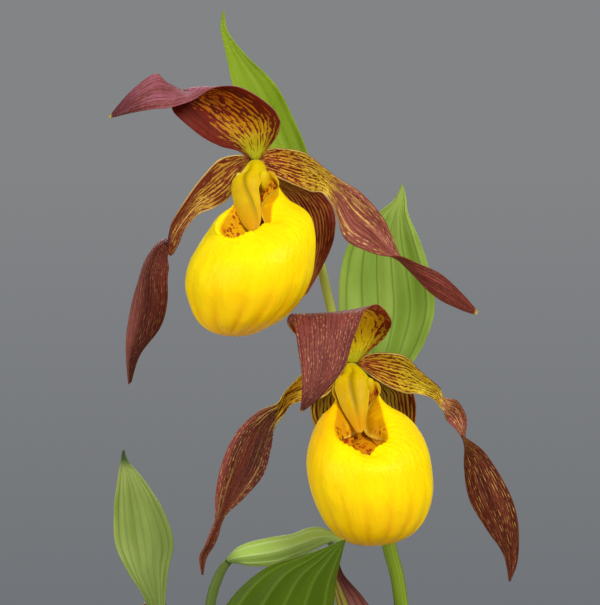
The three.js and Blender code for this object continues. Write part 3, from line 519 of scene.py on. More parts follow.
def leaf_paint(name, base, light, dark, count=15, ribs=0.3, pale=0.0, fibre=0.1, foot=None, tip=None,
               line=None, sharp=0.009, foot_end=0.14):
    """Pleated leaf: parallel veins that meet at foot and tip, and uneven green between them."""
    p = Paint(name, 0.5, subsurface=0.1, specular=0.12)
    veins = p.lines(count, sharp * count, wander=0.01)
    fine = p.lines(count * 5, 0.4, wander=0.01, seed=4)
    p.colour = p.mix(p.patches(4, 3, 0.3, 0.7, seed=6) * 0.6, base, light)
    p.coat(p.clouds(45, 0.35, 0.65) * 0.3, dark)
    p.coat(fine * fibre, dark)
    p.coat(p.step(p.v, 0.62, 0.9, 0, pale), light)
    p.coat(veins * ribs, line or light)
    p.coat(p.step(p.v, foot_end, 0, 0, 0.9 if foot else 0.5), foot or light)
    if tip:
        p.coat(p.step(p.v, 0.8, 0.9), tip)
    relief = veins * 0.8 - fine * (3.5 * fibre) + p.noise(p.place, 900) * 0.3
    p.finish(relief, 0.0003, 0.5)


def stem_paint(name, low, high, top):
    """Stem with fine hairs; its upper end is paler, as painted light."""
    p = Paint(name, 0.5, subsurface=0.15, specular=0.15)
    stripe = p.streaks(14, 1.5, seed=2)
    p.colour = p.mix(p.step(stripe, 0.35, 0.65), low, high)
    p.coat(p.step(p.noise(p.place, 60, detail=3), 0.5, 0.75, 0, 0.4), "#5c761a")
    # Painted light: the upper end is paler, brightening the stem where it runs in shade under the flowers.
    p.coat(p.step(p.v, 0.7, 0.9), top)
    p.finish(p.noise(p.place, 1600) + stripe * 0.8, 0.0002, 0.5)


def bud_paint():
    """Closed bud: mauve on one side, yellow-green on the other, with dark veins."""
    p = Paint("bud_green", 0.5, subsurface=0.12, specular=0.12)
    stripe = p.lines(14, 0.3, wander=0.03)
    green = p.mix(p.patches(5, 4, 0.35, 0.65), "#847c2c", "#a09442")
    mauve = p.mix(p.patches(6, 3, 0.4, 0.6, seed=3), "#7a4438", "#66342e")
    side = p.step(abs(p.u + p.streaks(4, 3, seed=7) * 0.1 - 0.46), 0.19, 0.13)
    p.colour = p.mix(side, mauve, green)
    p.coat(stripe * 0.8, "#54221c")
    p.finish(stripe, 0.0003, 0.4)


def sheath_paint():
    p = Paint("sheath_papery", 0.75)
    stripe = p.lines(16, 0.3)
    p.colour = p.mix(p.patches(6, 3, 0.35, 0.65), "#8e7646", "#707034")
    p.coat(stripe * 0.5, "#564226")
    p.finish(stripe, 0.0003, 0.6)


def soil_paint():
    p = Paint("soil", 0.95, specular=0.2)
    grain = p.noise(p.place, 420, detail=6, roughness=0.7)
    p.colour = p.mix(p.step(grain, 0.35, 0.7), "#2c2018", "#58422e")
    p.coat(p.step(p.cells(p.place, 500), 0.16, 0.1, 0, 0.7), "#96866e")
    p.finish(grain, 0.002, 0.9)


def bark_paint():
    p = Paint("bark", 0.9, specular=0.2)
    grain = p.noise(p.place, 500, detail=4)
    p.colour = p.mix(p.clouds(60, 0.4, 0.6, detail=0), "#4a3221", "#7a5c3e")
    p.coat(p.step(grain, 0.4, 0.7, 0, 0.5), "#281b12")
    p.finish(grain, 0.0006, 0.8)


def clay_paint():
    """Fired clay with chalky bloom, most of it near the foot, and fine turning marks."""
    p = Paint("clay", 0.85, specular=0.25)
    specks = p.noise(p.place, 900)
    height = p.add("SeparateXYZ", {0: p.place}, 2)
    clouds = p.step(p.noise(p.place, 16, detail=5, roughness=0.6), 0.35, 0.65)
    p.colour = p.mix(clouds, "#b6684a", "#9e543a")
    p.coat(p.step(specks, 0.62, 0.72, 0, 0.5), "#703e2e")
    bloom = p.step(p.noise(p.place, 34, detail=6, roughness=0.7), 0.52, 0.68)
    p.coat(bloom * (p.step(height, 0.05, 0) * 0.35 + 0.22), "#d6beaa")
    turned = p.noise(p.vector(0, 0, height * 900), 1, detail=3)
    p.finish(turned * 0.6 + specks * 0.5, 0.0005, 0.5)


petal_inner(
    "petal_inner_a_left", "#ac8228", "#ba9228", "#60200a", "#74321c", net=(18, 26, 1.1, 0.2),
    level=(0.45, 0.51, 0.3), margins=(0.95, 0, 0.12), margin_colour="#703226", late=0.26,
    late_colours=("#743422", "#5c2212"), bare=(0.1, 0.14), rim=0.6)
petal_inner(
    "petal_inner_a_right", "#d4982c", "#dcba2c", "#601c08", "#84341a", net=(20, 28, 1.3, 0.14),
    level=(0.45, 0.53, 0.3), late=0.35, bare=(0.62, 0.1), rim=0.7, flecks=0.7)
petal_inner(
    "petal_inner_b_left", "#e4ba28", "#e8c02a", "#78340e", "#86421a", net=(9, 15, 0.7, 0.12),
    level=(0.54, 0.52, 0.3), late=0.38, late_colours=("#5a2218", "#42140c"), bare=(0.55, 0.16),
    blush="#7a3a34", rim=0.7, flecks=0.4, fleck_scale=1.5)
petal_inner(
    "petal_inner_b_right", "#d4a026", "#e4cc24", "#682008", "#863618", net=(21, 30, 1.1, 0.2),
    level=(0.44, 0.55, 0.26), late=0.4, rim=0.85, flecks=0.6)
petal_inner(
    "dorsal_inner_a", "#ac9000", "#c06a04", "#741c04", "#5a1606", net=(20, 15, 1.4, 0.16),
    level=(0.64, 0.46, 0.45), lines=15, green=0.2, margins=(0.8, 0.5, -1), margin_colour="#581608", flecks=0)
petal_inner(
    "dorsal_inner_b", "#d6b804", "#e6a014", "#962806", "#741e06", net=(18, 18, 1.6, 0.16),
    level=(0.7, 0.56, 0.5), lines=14, green=0.25, margins=(0.5, 0.6, -1), margin_colour="#5c1a08", flecks=0.4)
petal_inner(
    "synsepal_inner_a", "#b6982e", "#ba7634", "#621c0c", "#7c341e", net=(24, 10, 0.2, 0.34),
    level=(0.56, 0.5, 0.5), lines=21, wander=0.05, margins=(0, 0.4, -1), margin_colour="#843a2a", flecks=0)
petal_inner(
    "synsepal_inner_b", "#b0a02c", "#b8982c", "#541808", "#701e08", net=(26, 7, 0.1, 0.36),
    level=(0.57, 0.55, 0.6), lines=29, wander=0.04, margins=(0, 0.35, -1), margin_colour="#641e0c", flecks=0)
petal_outer(
    "petal_outer_a_left", "#5e2418", "#4a1810", "#340e08", "#ac7646", 0.5, darken=(0.68, 0.95),
    fine=1.4, midrib=0.9, blush="#80463e")
petal_outer(
    "petal_outer_a_right", "#783228", "#60241c", "#3a1008", "#be845a", 0.35, fine=1.4,
    tip="#ceb060")
petal_outer(
    "petal_outer_b_left", "#64281a", "#4c1a0e", "#3a1008", "#bc8c42", 0.85, midrib=0.6)
petal_outer(
    "petal_outer_b_right", "#602618", "#48180c", "#3a1008", "#c29448", 0.8, fine=1.2,
    midrib=0.7, streaked=0.72)
petal_outer(
    "sepal_outer_a", "#92505c", "#7c3e40", "#46161a", "#ce9682", 0.35, ribs=0.95,
    darken=(0.8, 1), tip="#d6c464")
petal_outer(
    "sepal_outer_b", "#7a3a32", "#682e2a", "#3e1212", "#c88c5c", 0.72, veins=12, ribs=0.9,
    darken=(0.8, 1), fine=1.35, tip="#a88c46")
lip_paint("lip_yellow_a", (0.8, 0.24, 0.18), "#de9c06")
lip_paint("lip_yellow_b", (0.5, 0.24, 0.3), "#c48006", painted_shade_left=0.7)
column_paint()
leaf_paint("leaf_green", "#6c842a", "#96a850", "#58721e")
leaf_paint(
    "bract_grey", "#788a3e", "#a0ae60", "#667a32", count=7, ribs=0.4, pale=0.6, fibre=0.02,
    foot="#526522", tip="#42542a", line="#5e702c", sharp=0.03, foot_end=0.6)
leaf_paint(
    "bract_fresh", "#789216", "#8ca22c", "#66820e", count=9, fibre=0.05)
leaf_paint(
    "bract_soft", "#769430", "#9eb452", "#628020", count=6, ribs=0.5, pale=0.8, fibre=0.02,
    line="#506e1a", sharp=0.022)
# Painted light: a paler copy of the bract green, standing for the light on the nodding bract.
leaf_paint(
    "bract_painted_light", "#9eba54", "#b2ca6c", "#86a240", count=3, ribs=0.55, fibre=0.02,
    foot="#70863c", line="#c4d488", sharp=0.06, foot_end=0.25)
leaf_paint(
    "leaf_dark", "#3e5400", "#485e06", "#304400", count=5, ribs=0.45, fibre=0.03, line="#627622",
    sharp=0.03)
stem_paint("stem_green", "#6a821a", "#82962a", "#c0c856")
stem_paint("stalk_green", "#506024", "#5e6e2f", "#788e44")
bud_paint()
sheath_paint()
soil_paint()
bark_paint()
clay_paint()

# ---------- petals and sepals: left margin, right margin, sag ----------
DORSAL_A = [
    (-1.6, 0.3, 0.2, 1.6, 0.3, 0.2, 0), (-5, 0, 2.5, 4, 0, 3.5, -1), (-9.5, -2, 3.5, 6.5, -2, 7.5, -3.5),
    (-14.5, -4, 6, 6.5, -4, 12, -5), (-19.5, -5, 10, 2, -6, 16.5, -5), (-23, -5, 13.5, -5, -8, 20, -3.6),
    (-23, -2, 17, -12, -10, 19.5, -1.6), (-21.5, -1, 19.4, -17.5, -12, 16.3, -0.6),
    (-25, -5, 21.9, -23.5, -12, 14, -1.3), (-28, -9, 23.5, -28.5, -12, 13.5, -1.5),
    (-34.5, -12, 18.5, -34.5, -12, 12.5, -1), (-40.5, -12, 11.5, -40.5, -12, 11, 0),
]
PETAL_LEFT_A = [
    (-1.6, 0.5, 1, -1.6, 0.5, -0.8, 0), (-5.5, 0.5, 1.3, -4, 1, -4.5, 1), (-10, -1, 0, -7, 0, -10.5, 1.5),
    (-14, -2, -4, -11.5, -1, -13.5, 1.5), (-18, -3, -9, -16, -2, -15.5, 1),
    (-22.2, -6, -16, -19.9, -3, -20.3, 1), (-23.6, -8, -20.1, -21.7, -3, -23.4, 1),
    (-23.9, -8.5, -23.9, -23.6, -3.6, -27, 0.8), (-24, -8.3, -27, -25, -2.5, -22.4, 1.2),
    (-24.1, -8, -28.6, -27.9, -2.5, -23.7, 1.5), (-24.1, -8.3, -30.5, -30.1, -2.8, -27.2, 1.6),
    (-24.2, -8, -33, -32.2, -3, -32.4, 2), (-24.5, -6, -40, -34.5, -4, -40, 1.5),
    (-26.5, -5, -47, -36, -4, -49.5, 1), (-32, -4, -54.5, -36, -3, -56.5, 0.5),
    (-34.5, -3, -62, -35.5, -3, -63, 0),
]
PETAL_RIGHT_A = [
    (1.6, 0.5, 1.6, 1.6, 0.5, -2.4, 0), (4.3, 0, 3.1, 5, 1, -4.3, -1), (9, -1, 3, 10.5, 1, -7, -1.5),
    (14, -3, 1.5, 15.5, 0, -9, -1.5), (19, -5, -2, 19, -3, -9.5, -1), (24, -7, -6, 22, -4, -14, -1),
    (29.5, -8, -9.5, 25, -6, -22, -1.5), (35, -9, -15.5, 30.5, -7, -25.5, -1.5),
    (39, -7, -23, 36, -11, -27, -1), (41.5, -5, -28.5, 41, -13, -27.5, -1),
    (45.5, -8, -34, 46.5, -13, -29.5, -1), (51, -10, -39, 52, -12, -32.5, -1),
    (57, -10, -42, 57.5, -11, -37.5, -0.5), (61.5, -10, -43.5, 62, -10, -42.5, 0),
]
SYNSEPAL_A = [
    (-1.5, 1, -2.5, 1.5, 1, -2.5, 0), (-1, 3, -6.5, 9, 3, -5.5, 1), (0.5, 4, -12, 17.5, 3, -8.5, 2.5),
    (3, 5, -19, 22, 4, -14, 3), (6, 5, -26, 22, 4, -22, 3), (9.5, 4.5, -32.5, 19, 4.5, -29.5, 2),
    (13.5, 4.5, -38.5, 14.5, 4.5, -37.5, 0),
]
DORSAL_B = [
    (-1.6, 0.3, 0.2, 1.4, 0.3, 0.2, 0), (-6.5, 1, 2.6, 5, 0.6, 3.8, -0.8),
    (-13.5, 1.5, 5.5, 9, 0, 7.5, -2.5), (-18, -1, 10, 10.5, -4, 12, -2.5),
    (-18.5, -7, 12.6, 7, -9, 16, 0.3), (-17, -14, 13.6, 3.2, -14, 15, 0.4),
    (-16.5, -20, 11, 2, -18, 13, -0.6), (-15.5, -24, 4.5, -0.5, -21, 6.5, -1.5),
    (-14.5, -26, -3, -3, -24, -1, -1.5), (-14.5, -27, -8.5, -9, -27, -8.5, -1),
    (-15, -28, -13, -14.5, -28, -13, 0),
]
PETAL_LEFT_B = [
    (-1.6, 0.5, 0.8, -1.6, 0.5, -0.8, 0), (-5, 0, 1, -4, 1, -5, 1), (-9.5, -1, 0, -7.5, 1, -9, 1.5),
    (-14, -2, -2.5, -12, 0, -10.5, 1.5), (-18.5, -4, -7, -17, -2, -11.5, 1),
    (-21.3, -5, -11, -20.2, -5, -15.2, 0.8), (-26.2, -4, -13.2, -22.3, -6, -18.6, 1.2),
    (-32.4, -4, -18.5, -23.2, -7, -23.8, 1.4), (-36.4, -4, -26.5, -25.2, -6, -31, 1.4),
    (-38.5, -4, -36, -30.6, -5, -37.5, 1), (-39, -4, -43.8, -35.8, -5, -42.6, 0.5),
    (-41.5, -5, -50.5, -38.5, -4, -50, 0.4), (-43, -5, -54, -41, -4, -54.5, 0.4),
    (-42.5, -4, -59, -42, -4, -59, 0),
]
PETAL_RIGHT_B = [
    (1.5, 0.5, 0.8, 1.5, 0.5, -0.8, 0), (4.5, 0, 2.6, 5.5, 1, -4, -1), (9, -1, 3, 10.5, 0, -7, -1.5),
    (14, -3, 2, 14.5, -1, -8.5, -1.5), (18.5, -5, -2, 18, -3, -8.5, -1), (23.5, -7, -6.2, 22, -4, -10, -1),
    (25.3, -5.5, -9.4, 24.6, -8.5, -13, 0.3), (29, -9.5, -10.4, 26.2, -6, -16, -1.4),
    (31.4, -8, -15.4, 29, -9, -19, -1.2), (31.5, -5, -21.5, 31.5, -13, -21, -1),
    (30.5, -8, -28, 37, -13, -25.5, -1), (32, -10, -37.5, 43, -12, -35.5, -1.5),
    (36.5, -10, -45.5, 45.5, -11, -44.5, -1), (41.5, -9, -53, 45.5, -9, -54.5, -0.5),
    (43, -9, -60.5, 43.5, -9, -60.5, 0),
]
SYNSEPAL_B = [
    (-1.8, 1.1, -2.8, 1.6, 1.1, -2.8, 0), (-7, 3.2, -5.4, 10, 3.2, -5, 2), (-11.5, 3, -9.5, 16.5, 3, -8, 4),
    (-11.5, 3.5, -16, 17.5, 3.5, -16, 4), (-7.5, 4.5, -24.5, 15.5, 4.5, -24, 3),
    (-2.5, 4.5, -33, 10, 4.5, -33, 1.5), (3, 4.5, -39.5, 4.5, 4.5, -39.5, 0),
]


def fade(v):
    """0 at both ends of a blade and 1 midway."""
    return np.sin(np.pi * v) ** 0.7


def frill(height, turns, seed, crease=0.0):
    """Both margins wave by height, each in its own rhythm, and the midrib is creased."""
    def relief(u, v, width):
        ends = fade(v)
        wave = np.sin(2 * np.pi * turns * v + seed + 1.7 * (u > 0))
        swell = np.sin(0.9 * np.pi * turns * v + 2 * seed)
        fold = crease * ends * np.exp(-(u / 0.12) ** 2) * np.minimum(1, width / 3)
        return height * ends * np.abs(u) ** 3 * (0.7 * wave + 0.3 * swell) + fold
    return relief


# Kind, looks of its inner and outer side, slot, whether the inner side comes first, margins.
BLADES = (
    ("dorsal_sepal", "dorsal_inner_{}", "sepal_outer_{}", "sepal_purple", True, frill(0.35, 3, 1)),
    ("synsepal", "synsepal_inner_{}", "sepal_outer_{}", "sepal_purple", False, frill(0.4, 2, 2)),
    ("petal_left", "petal_inner_{}_left", "petal_outer_{}_left", "petal_mahogany", False,
     frill(0.55, 5, 3, 0.35)),
    ("petal_right", "petal_inner_{}_right", "petal_outer_{}_right", "petal_mahogany", True,
     frill(0.55, 5, 4, 0.35)),
)
for tag, place, tables in (("a", FLOWER_A, (DORSAL_A, SYNSEPAL_A, PETAL_LEFT_A, PETAL_RIGHT_A)),
                           ("b", FLOWER_B, (DORSAL_B, SYNSEPAL_B, PETAL_LEFT_B, PETAL_RIGHT_B))):
    for rows, (kind, inner, outer, slot, inner_first, margins) in zip(tables, BLADES):
        blade(f"{kind}_{tag}", rows, PETAL_THICKNESS, (inner.format(tag), outer.format(tag)), slot, margins,
              PETAL_ACROSS, BLADE_STEPS, place, inner_first)

# ---------- lips ----------
# Rings from the bottom of the pouch to its mouth: centre, half width, half depth, tilt in degrees.
LIP_A = [
    (-5.4, -14, -49, 4, 4, 0), (-5.3, -14, -47.6, 7.5, 7.2, 2), (-4, -14, -44.6, 12, 11, 4),
    (-2.7, -14.2, -40, 15.4, 13.6, 7), (-1.8, -14.6, -34, 17.6, 15.6, 11),
    (-0.8, -14.8, -28, 17.6, 16.2, 15), (0.4, -14.8, -23, 16.2, 16.2, 20), (1, -14.4, -18.8, 14, 15, 24),
]
LIP_B = [
    (4.6, -14, -50, 4, 4, 0), (5, -14, -48.6, 8.2, 7.8, 2), (5.4, -14, -46, 11.8, 11, 4),
    (5.4, -14.2, -41.5, 14.8, 13.6, 7), (4.9, -14.6, -35, 16.9, 15.6, 11),
    (4.1, -14.8, -28, 17.3, 16.2, 15), (3.9, -14.8, -22.6, 16.3, 16.2, 20),
    (3.5, -14.4, -18.2, 13.9, 15, 24),
]
# Mouths: angle from the front in degrees towards the right, the crest where the wall turns
# in, and the free margin of the turned-in lobes.
MOUTH_A = [
    (0, -5.3, -23.4, -22.1, -5.2, -22.2, -22.6), (14, -3.6, -23.4, -21.5, -3.6, -22.2, -22),
    (27, -1.8, -22.8, -20.5, -1.8, -21.6, -21.1), (40, 0, -22, -20.2, -0.1, -20.8, -20.8),
    (52, 1.5, -21, -19.1, 1.2, -19.8, -19.8), (63, 2.8, -19.8, -18.1, 2.2, -18.8, -18.8),
    (74, 4.4, -18.6, -18, 2.7, -17.6, -18), (85, 4.7, -17.2, -16.3, 2.1, -16.4, -16.4),
    (96, 4.8, -15.8, -14.4, 1.8, -14.8, -14.6), (107, 5.2, -14.2, -12.7, 1.9, -13.2, -13),
    (118, 6, -12.4, -11.4, 2.6, -11.6, -11.7), (130, 6.7, -10.8, -10.3, 4, -10, -10.3),
    (142, 6.7, -9.4, -9.2, 5.6, -8.8, -8.9), (152, 6.5, -8, -8, 6.6, -7.6, -7.3),
    (162, 5.7, -6.6, -6.3, 6.2, -6, -5.7), (172, 3.8, -5.4, -4.6, 4.6, -4.8, -3.9),
    (182, 0.6, -4.6, -4.4, 0.6, -4, -3.9), (194, -2.5, -5.6, -5.2, -2.4, -5, -4.6),
    (206, -4.2, -7.4, -6.8, -4, -6.8, -6.3), (218, -5, -9.2, -9.2, -4.5, -8.4, -9),
    (230, -5.6, -11, -11.9, -4.5, -10, -12), (242, -6.1, -12.8, -13.4, -2.6, -10.6, -13.8),
    (254, -7, -14.4, -14.6, -1.6, -11.2, -15.6), (266, -8, -16, -16, -0.9, -12, -17),
    (278, -8.9, -17.6, -17.4, -0.3, -13.2, -18.4), (290, -9.7, -19.2, -18.9, -0.4, -15, -19.8),
    (302, -9.8, -20.6, -20.5, -1.8, -17.2, -21), (316, -8.7, -21.8, -21.7, -4.6, -19.4, -22.2),
    (332, -7.1, -22.8, -22.2, -6.6, -21.4, -22.6), (346, -6.2, -23.3, -22.3, -5.9, -22.1, -22.8),
]
MOUTH_B = [
    (0, 3.5, -24.5, -25, 3.5, -23.1, -25.7), (12, 4.9, -24.2, -24, 4.8, -22.9, -24.7),
    (24, 6.2, -23.6, -22.5, 6, -22.4, -23.3), (36, 7.7, -22.8, -21.9, 7.3, -21.4, -22.6),
    (49, 9.2, -21.5, -20.7, 8.5, -19.9, -21.1), (61, 9.2, -19.8, -18.8, 7.6, -17.8, -20.9),
    (73, 8.8, -17.8, -16.9, 5.8, -16.2, -20.6), (85, 8.3, -15.6, -15.1, 3.6, -14.6, -19.4),
    (98, 8, -13.2, -13.2, 2.8, -12.6, -17), (112, 7.4, -10.8, -11.3, 3.4, -10.8, -13.7),
    (128, 7, -9, -10, 4.8, -9, -11), (144, 6.9, -7.6, -8.7, 6.8, -7.8, -9.1),
    (156, 6.7, -6.6, -7.6, 7.5, -6.4, -7.6), (168, 5.6, -5.6, -6, 6.5, -5.2, -5.5),
    (180, 0.9, -4.6, -5.2, 1, -4, -4.8), (192, -4.1, -5.6, -6.3, -5, -5.2, -5.9),
    (204, -5.1, -6.6, -7.8, -6.1, -6.4, -7.9), (216, -5, -7.6, -9, -5.5, -7.8, -9.4),
    (232, -4.9, -9, -10.2, -4.4, -9, -11), (248, -4.8, -10.8, -11.7, -1.6, -10.8, -13.5),
    (262, -5, -13.2, -13.3, 0.2, -12.6, -16), (275, -5.3, -15.6, -15.1, 1, -14.4, -18.4),
    (287, -5.6, -17.8, -16.9, -1.2, -16.2, -20), (299, -5.3, -19.8, -18.7, -3, -17.8, -20.6),
    (311, -4.6, -21.5, -20.2, -4.1, -19.9, -21), (324, -2.9, -22.8, -21.6, -2.6, -21.4, -22.4),
    (336, -1.2, -23.6, -22.4, -1, -22.4, -23.2), (348, 1.2, -24.2, -23.8, 1.3, -22.9, -24.7),
]
LIP_SIDES, LIP_ROUNDNESS = 180, 0.92
# Rings are closer together where the wall turns in.
LIP_STEPS = ((0, 7.5, 60), (7.6, 11.5, 78), (11.7, 21, 34))
SHOULDER_RISE, SHOULDER_SPREAD, SCALLOP, NOTCH_SPREAD = 1.4, 0.9, 0.22, 0.45
LIP_PLEAT, GROOVE_SHARE, GROOVE_SHARPNESS = 0.018, 0.17, 1.7
LIP_FOOT, LOBE_UNDERSIDE = 0.4, np.array([0, 0.3, -0.6])
HOLLOW_SHARES, HOLLOW_DROP = (0.55, 0.35), 3.7


def lip_ring(row, yaw, from_back, swell=1.0, shrink=0.0, broad=1.0, short=1.0):
    """Ring round the pouch; broad and short narrow it, and a short ring keeps to the front."""
    *centre, wide, deep, tilt = row
    turn, lean = math.radians(yaw), math.radians(tilt)
    side = np.array([math.cos(turn), -math.sin(turn), 0])
    back = np.array([math.sin(turn) * math.cos(lean), math.cos(turn) * math.cos(lean), math.sin(lean)])
    c, s = (np.sign(k) * np.abs(k) ** LIP_ROUNDNESS * swell for k in (-np.sin(from_back), np.cos(from_back)))
    across, depth = (wide - shrink) * broad * c, (deep - shrink) * (short * s - (1 - short))
    return side * across[:, None] + back * depth[:, None] + np.array(centre)


def lip(tag, place, rows, mouth, yaw, notch):
    """Outer wall up to the crest, lobes turned in to their margin, and back down inside."""
    mouth = np.array(mouth)
    index = np.arange(LIP_SIDES) * len(mouth) / LIP_SIDES
    angles = [*mouth[:, 0], 360]
    from_back = np.radians(np.interp(index, np.arange(len(angles)), angles)) - np.pi
    turned = np.pi - np.abs(from_back)
    crest, margin = (round_curve(mouth[:, k:k + 3], LIP_SIDES) for k in (1, 4))
    scallop = SCALLOP * np.sin(2.6 * np.pi * index + 1) * np.exp(-(turned / 1.1) ** 2)
    crest[:, 2] += scallop
    margin[:, 2] += 0.7 * scallop
    under = margin + 0.5 * unit(crest - margin) + LOBE_UNDERSIDE
    # Pleats fade out from the foot up to the mouth.
    groove = (LIP_PLEATS * np.arange(LIP_SIDES) / LIP_SIDES) % 1 - 0.5
    folds = 0.4 * np.cos(19 * from_back + 1) - GROOVE_SHARPNESS * np.exp(-(groove / GROOVE_SHARE) ** 2)
    x, y, z = rows[0][:3]
    outer = [lip_ring(row, yaw, from_back, 1 + LIP_PLEAT * max(0, 1 - k / len(rows)) * folds)
             for k, row in enumerate([(x, y, z - LIP_FOOT, LIP_FOOT, LIP_FOOT, 0)] + rows)]
    outer[-1][:, 2] -= notch * np.exp(-(turned / NOTCH_SPREAD) ** 2)
    shoulder = (crest + outer[-1]) / 2
    rise = SHOULDER_RISE * (1 - np.exp(-(turned / SHOULDER_SPREAD) ** 2))
    shoulder[:, 2] += rise * (1 - 1.3 * smooth(turned, 1.5, 2.5))
    # The hollow keeps to the front of the pouch, and its back wall stands below the lobes.
    inner = [lip_ring(row, yaw, from_back, 1, LIP_WALL, *HOLLOW_SHARES) for row in rows[-2:2:-1]]
    inner.insert(0, (under + inner[0]) / 2)
    inner[0][:, 2] -= 0.3 + HOLLOW_DROP * (1 + np.cos(from_back)) / 2
    keys = np.array([*outer, shoulder, crest, margin, under, *inner])
    index = np.concatenate([np.linspace(*span) for span in LIP_STEPS])
    index = index * (len(keys) - 1) / index[-1]
    rings = along(keys.reshape(len(keys), -1), index / (len(keys) - 1)).reshape(-1, LIP_SIDES, 3)
    shape = Shape()
    # The texture coordinate is 1 at the crest, less outside and more inside.
    shape.loft(rings + np.array(place), ring_v=index / (len(outer) + 1))
    shape.build(f"lip_{tag}", [f"lip_yellow_{tag}"])


lip("a", FLOWER_A, LIP_A, MOUTH_A, 20, 0)
lip("b", FLOWER_B, LIP_B, MOUTH_B, -5, 1.6)

# ---------- columns: left margin, right margin, sag, thickness, place of the groove ----------
COLUMN_A = [
    (-1.7, -0.4, -1.3, 2, -0.4, -1.3, 0, 2.8, 0.4), (-2.2, -2.6, -2.2, 2.5, -2.6, -2.2, -0.5, 3, 0.38),
    (-2.9, -5.4, -3.4, 2.9, -5.6, -3.4, -0.8, 3, 0.36), (-4.3, -7.2, -5, 2.9, -8, -5, -1.2, 2.4, 0.38),
    (-6.1, -8.6, -6.2, 1.7, -10.4, -6.6, -1.4, 1.8, 0.45),
    (-6.5, -9.8, -8.3, 1.1, -11.8, -8.5, -1.4, 1.4, 0.56),
    (-6.2, -10.8, -10.6, 1.4, -13, -10.6, -1.3, 1.3, 0.66),
    (-5.6, -12.2, -12.9, 1.6, -14.4, -12.9, -1.1, 1.2, 0.74),
    (-4.6, -13.9, -15.7, 1.8, -16, -15.7, -0.9, 1.1, 0.82),
    (-3.4, -15.9, -18.2, 1.5, -17.6, -18, -0.6, 1, 0.86),
    (-2, -17.6, -19.9, 0.6, -18.6, -19.9, -0.4, 0.9, 0.88),
    (-1.2, -18.2, -20.5, -0.2, -18.8, -20.5, 0, 0.7, 0.88),
]
COLUMN_B = [
    (-2.2, -0.4, -1.1, 0.9, -0.4, -1.1, 0, 2.6, 0.5), (-2.4, -2.3, -2, 1.4, -2.3, -2, -0.5, 2.8, 0.46),
    (-2.6, -4.6, -2.9, 2.4, -4.6, -2.9, -0.8, 3, 0.44), (-3, -6.4, -4, 3.6, -6.6, -4, -1.2, 2.6, 0.43),
    (-4.9, -8, -5, 4.5, -8.4, -5.2, -1.5, 2, 0.45), (-5.2, -9.3, -6.6, 4.4, -9.7, -6.8, -1.5, 1.5, 0.47),
    (-4.9, -10.3, -8.4, 4.2, -10.7, -8.5, -1.4, 1.3, 0.5),
    (-4.2, -11.3, -10.5, 4, -11.7, -10.5, -1.2, 1.2, 0.53),
    (-3.5, -12.4, -12.1, 3.8, -12.6, -12.1, -1, 1.2, 0.55),
    (-2.3, -14, -14.4, 3.4, -14, -14.4, -0.8, 1.1, 0.56),
    (-1, -15.5, -16.4, 3.1, -15.5, -16.4, -0.6, 1, 0.56), (0, -16.9, -18, 2.8, -16.9, -18, -0.4, 0.9, 0.56),
    (0.8, -17.7, -19, 2, -17.7, -19, 0, 0.7, 0.5),
]
GROOVE_WIDTH, GROOVE_DEPTH = 0.13, 0.4
COLUMN_ACROSS, COLUMN_STEPS = 40, 90
# Anthers: centre, radius, half height.
ANTHERS_A = [(2.4, -9.4, -6.2, 1.9, 3), (-4.4, -7.4, -6.2, 1.5, 2.4)]
ANTHERS_B = [(4.3, -9.2, -6.4, 1.6, 2.5), (-4.3, -8.4, -6.4, 1.4, 2.2)]
ANTHER_ROWS, ANTHER_NARROWING = 14, 0.3


def column(tag, place, rows, anthers):
    """Neck and staminode in one, with a groove down the front, and an anther on each side."""
    rows = np.array(rows)
    groove = along(rows[:, 8:], np.linspace(0, 1, COLUMN_STEPS + 1))

    def relief(u, v, width):
        ends = smooth(v, 0.12, 0.3) * smooth(v, 1, 0.9)
        return GROOVE_DEPTH * ends * np.exp(-(((u + 1) / 2 - groove) / GROOVE_WIDTH) ** 2)

    rings, u, _ = blade_rings(rows[:, :8], COLUMN_ACROSS, COLUMN_STEPS, relief, rounded=True)
    # The texture coordinate across is 0.5 in the groove.
    u = (u + 1) / 2
    u = np.where(u < groove, 0.5 * u / groove, 0.5 + 0.5 * (u - groove) / (1 - groove))
    shape = Shape()
    shape.loft(rings + np.array(place), np.concatenate([u, u[:, ::-1], u[:, :1]], axis=1), strip=True)
    for *centre, radius, tall in anthers:
        x, y, z = np.array(centre) + place
        # An egg that narrows downwards.
        stalk(shape, [(x, y, z + tall * math.cos(math.pi * k),
                       radius * math.sin(math.pi * k) * (1 - ANTHER_NARROWING * k))
                      for k in np.linspace(0.02, 0.98, ANTHER_ROWS)], sides=20, steps=26)
    shape.build(f"column_{tag}", ["column_gold"])


column("a", FLOWER_A, COLUMN_A, ANTHERS_A)
column("b", FLOWER_B, COLUMN_B, ANTHERS_B)

# ---------- ovaries, buds and stems: x, y, z, radius ----------
OVARY_A = [
    (3.1, 14.1, 407.1, 1.2), (1, 14.8, 413, 1.8), (-3, 14.5, 420, 2.2), (-7.5, 11, 424.4, 2.3),
    (-11, 6.5, 425, 2.1), (-12.3, 3, 424.6, 1.8), (-12.5, 1.2, 424.8, 1.5),
]
OVARY_B = [
    (20.1, 14.3, 350.5, 0.9), (20.3, 15, 356, 1.4), (19.6, 14.4, 363, 2), (17.8, 11, 367.4, 2.3),
    (15.8, 6.5, 368, 2.1), (15.1, 3, 367.6, 1.8), (15, 1.2, 367.8, 1.5),
]
BUD_LEFT = [
    (-39.8, 20.5, 287.2, 0.8), (-40.4, 23, 289, 2.2), (-41.6, 25.5, 292, 4.6), (-42, 26.6, 295.5, 4.8),
    (-42, 27, 298.5, 3.6), (-42, 27, 300.5, 0.4),
]
BUD_NODDING = [
    (9.8, 4.4, 312.6, 1), (10.6, 4, 307.5, 2), (14, 4, 300, 4.2), (17.8, 4, 292, 5.2),
    (21.8, 4, 283.6, 3.8), (25, 4, 276, 0.4),
]
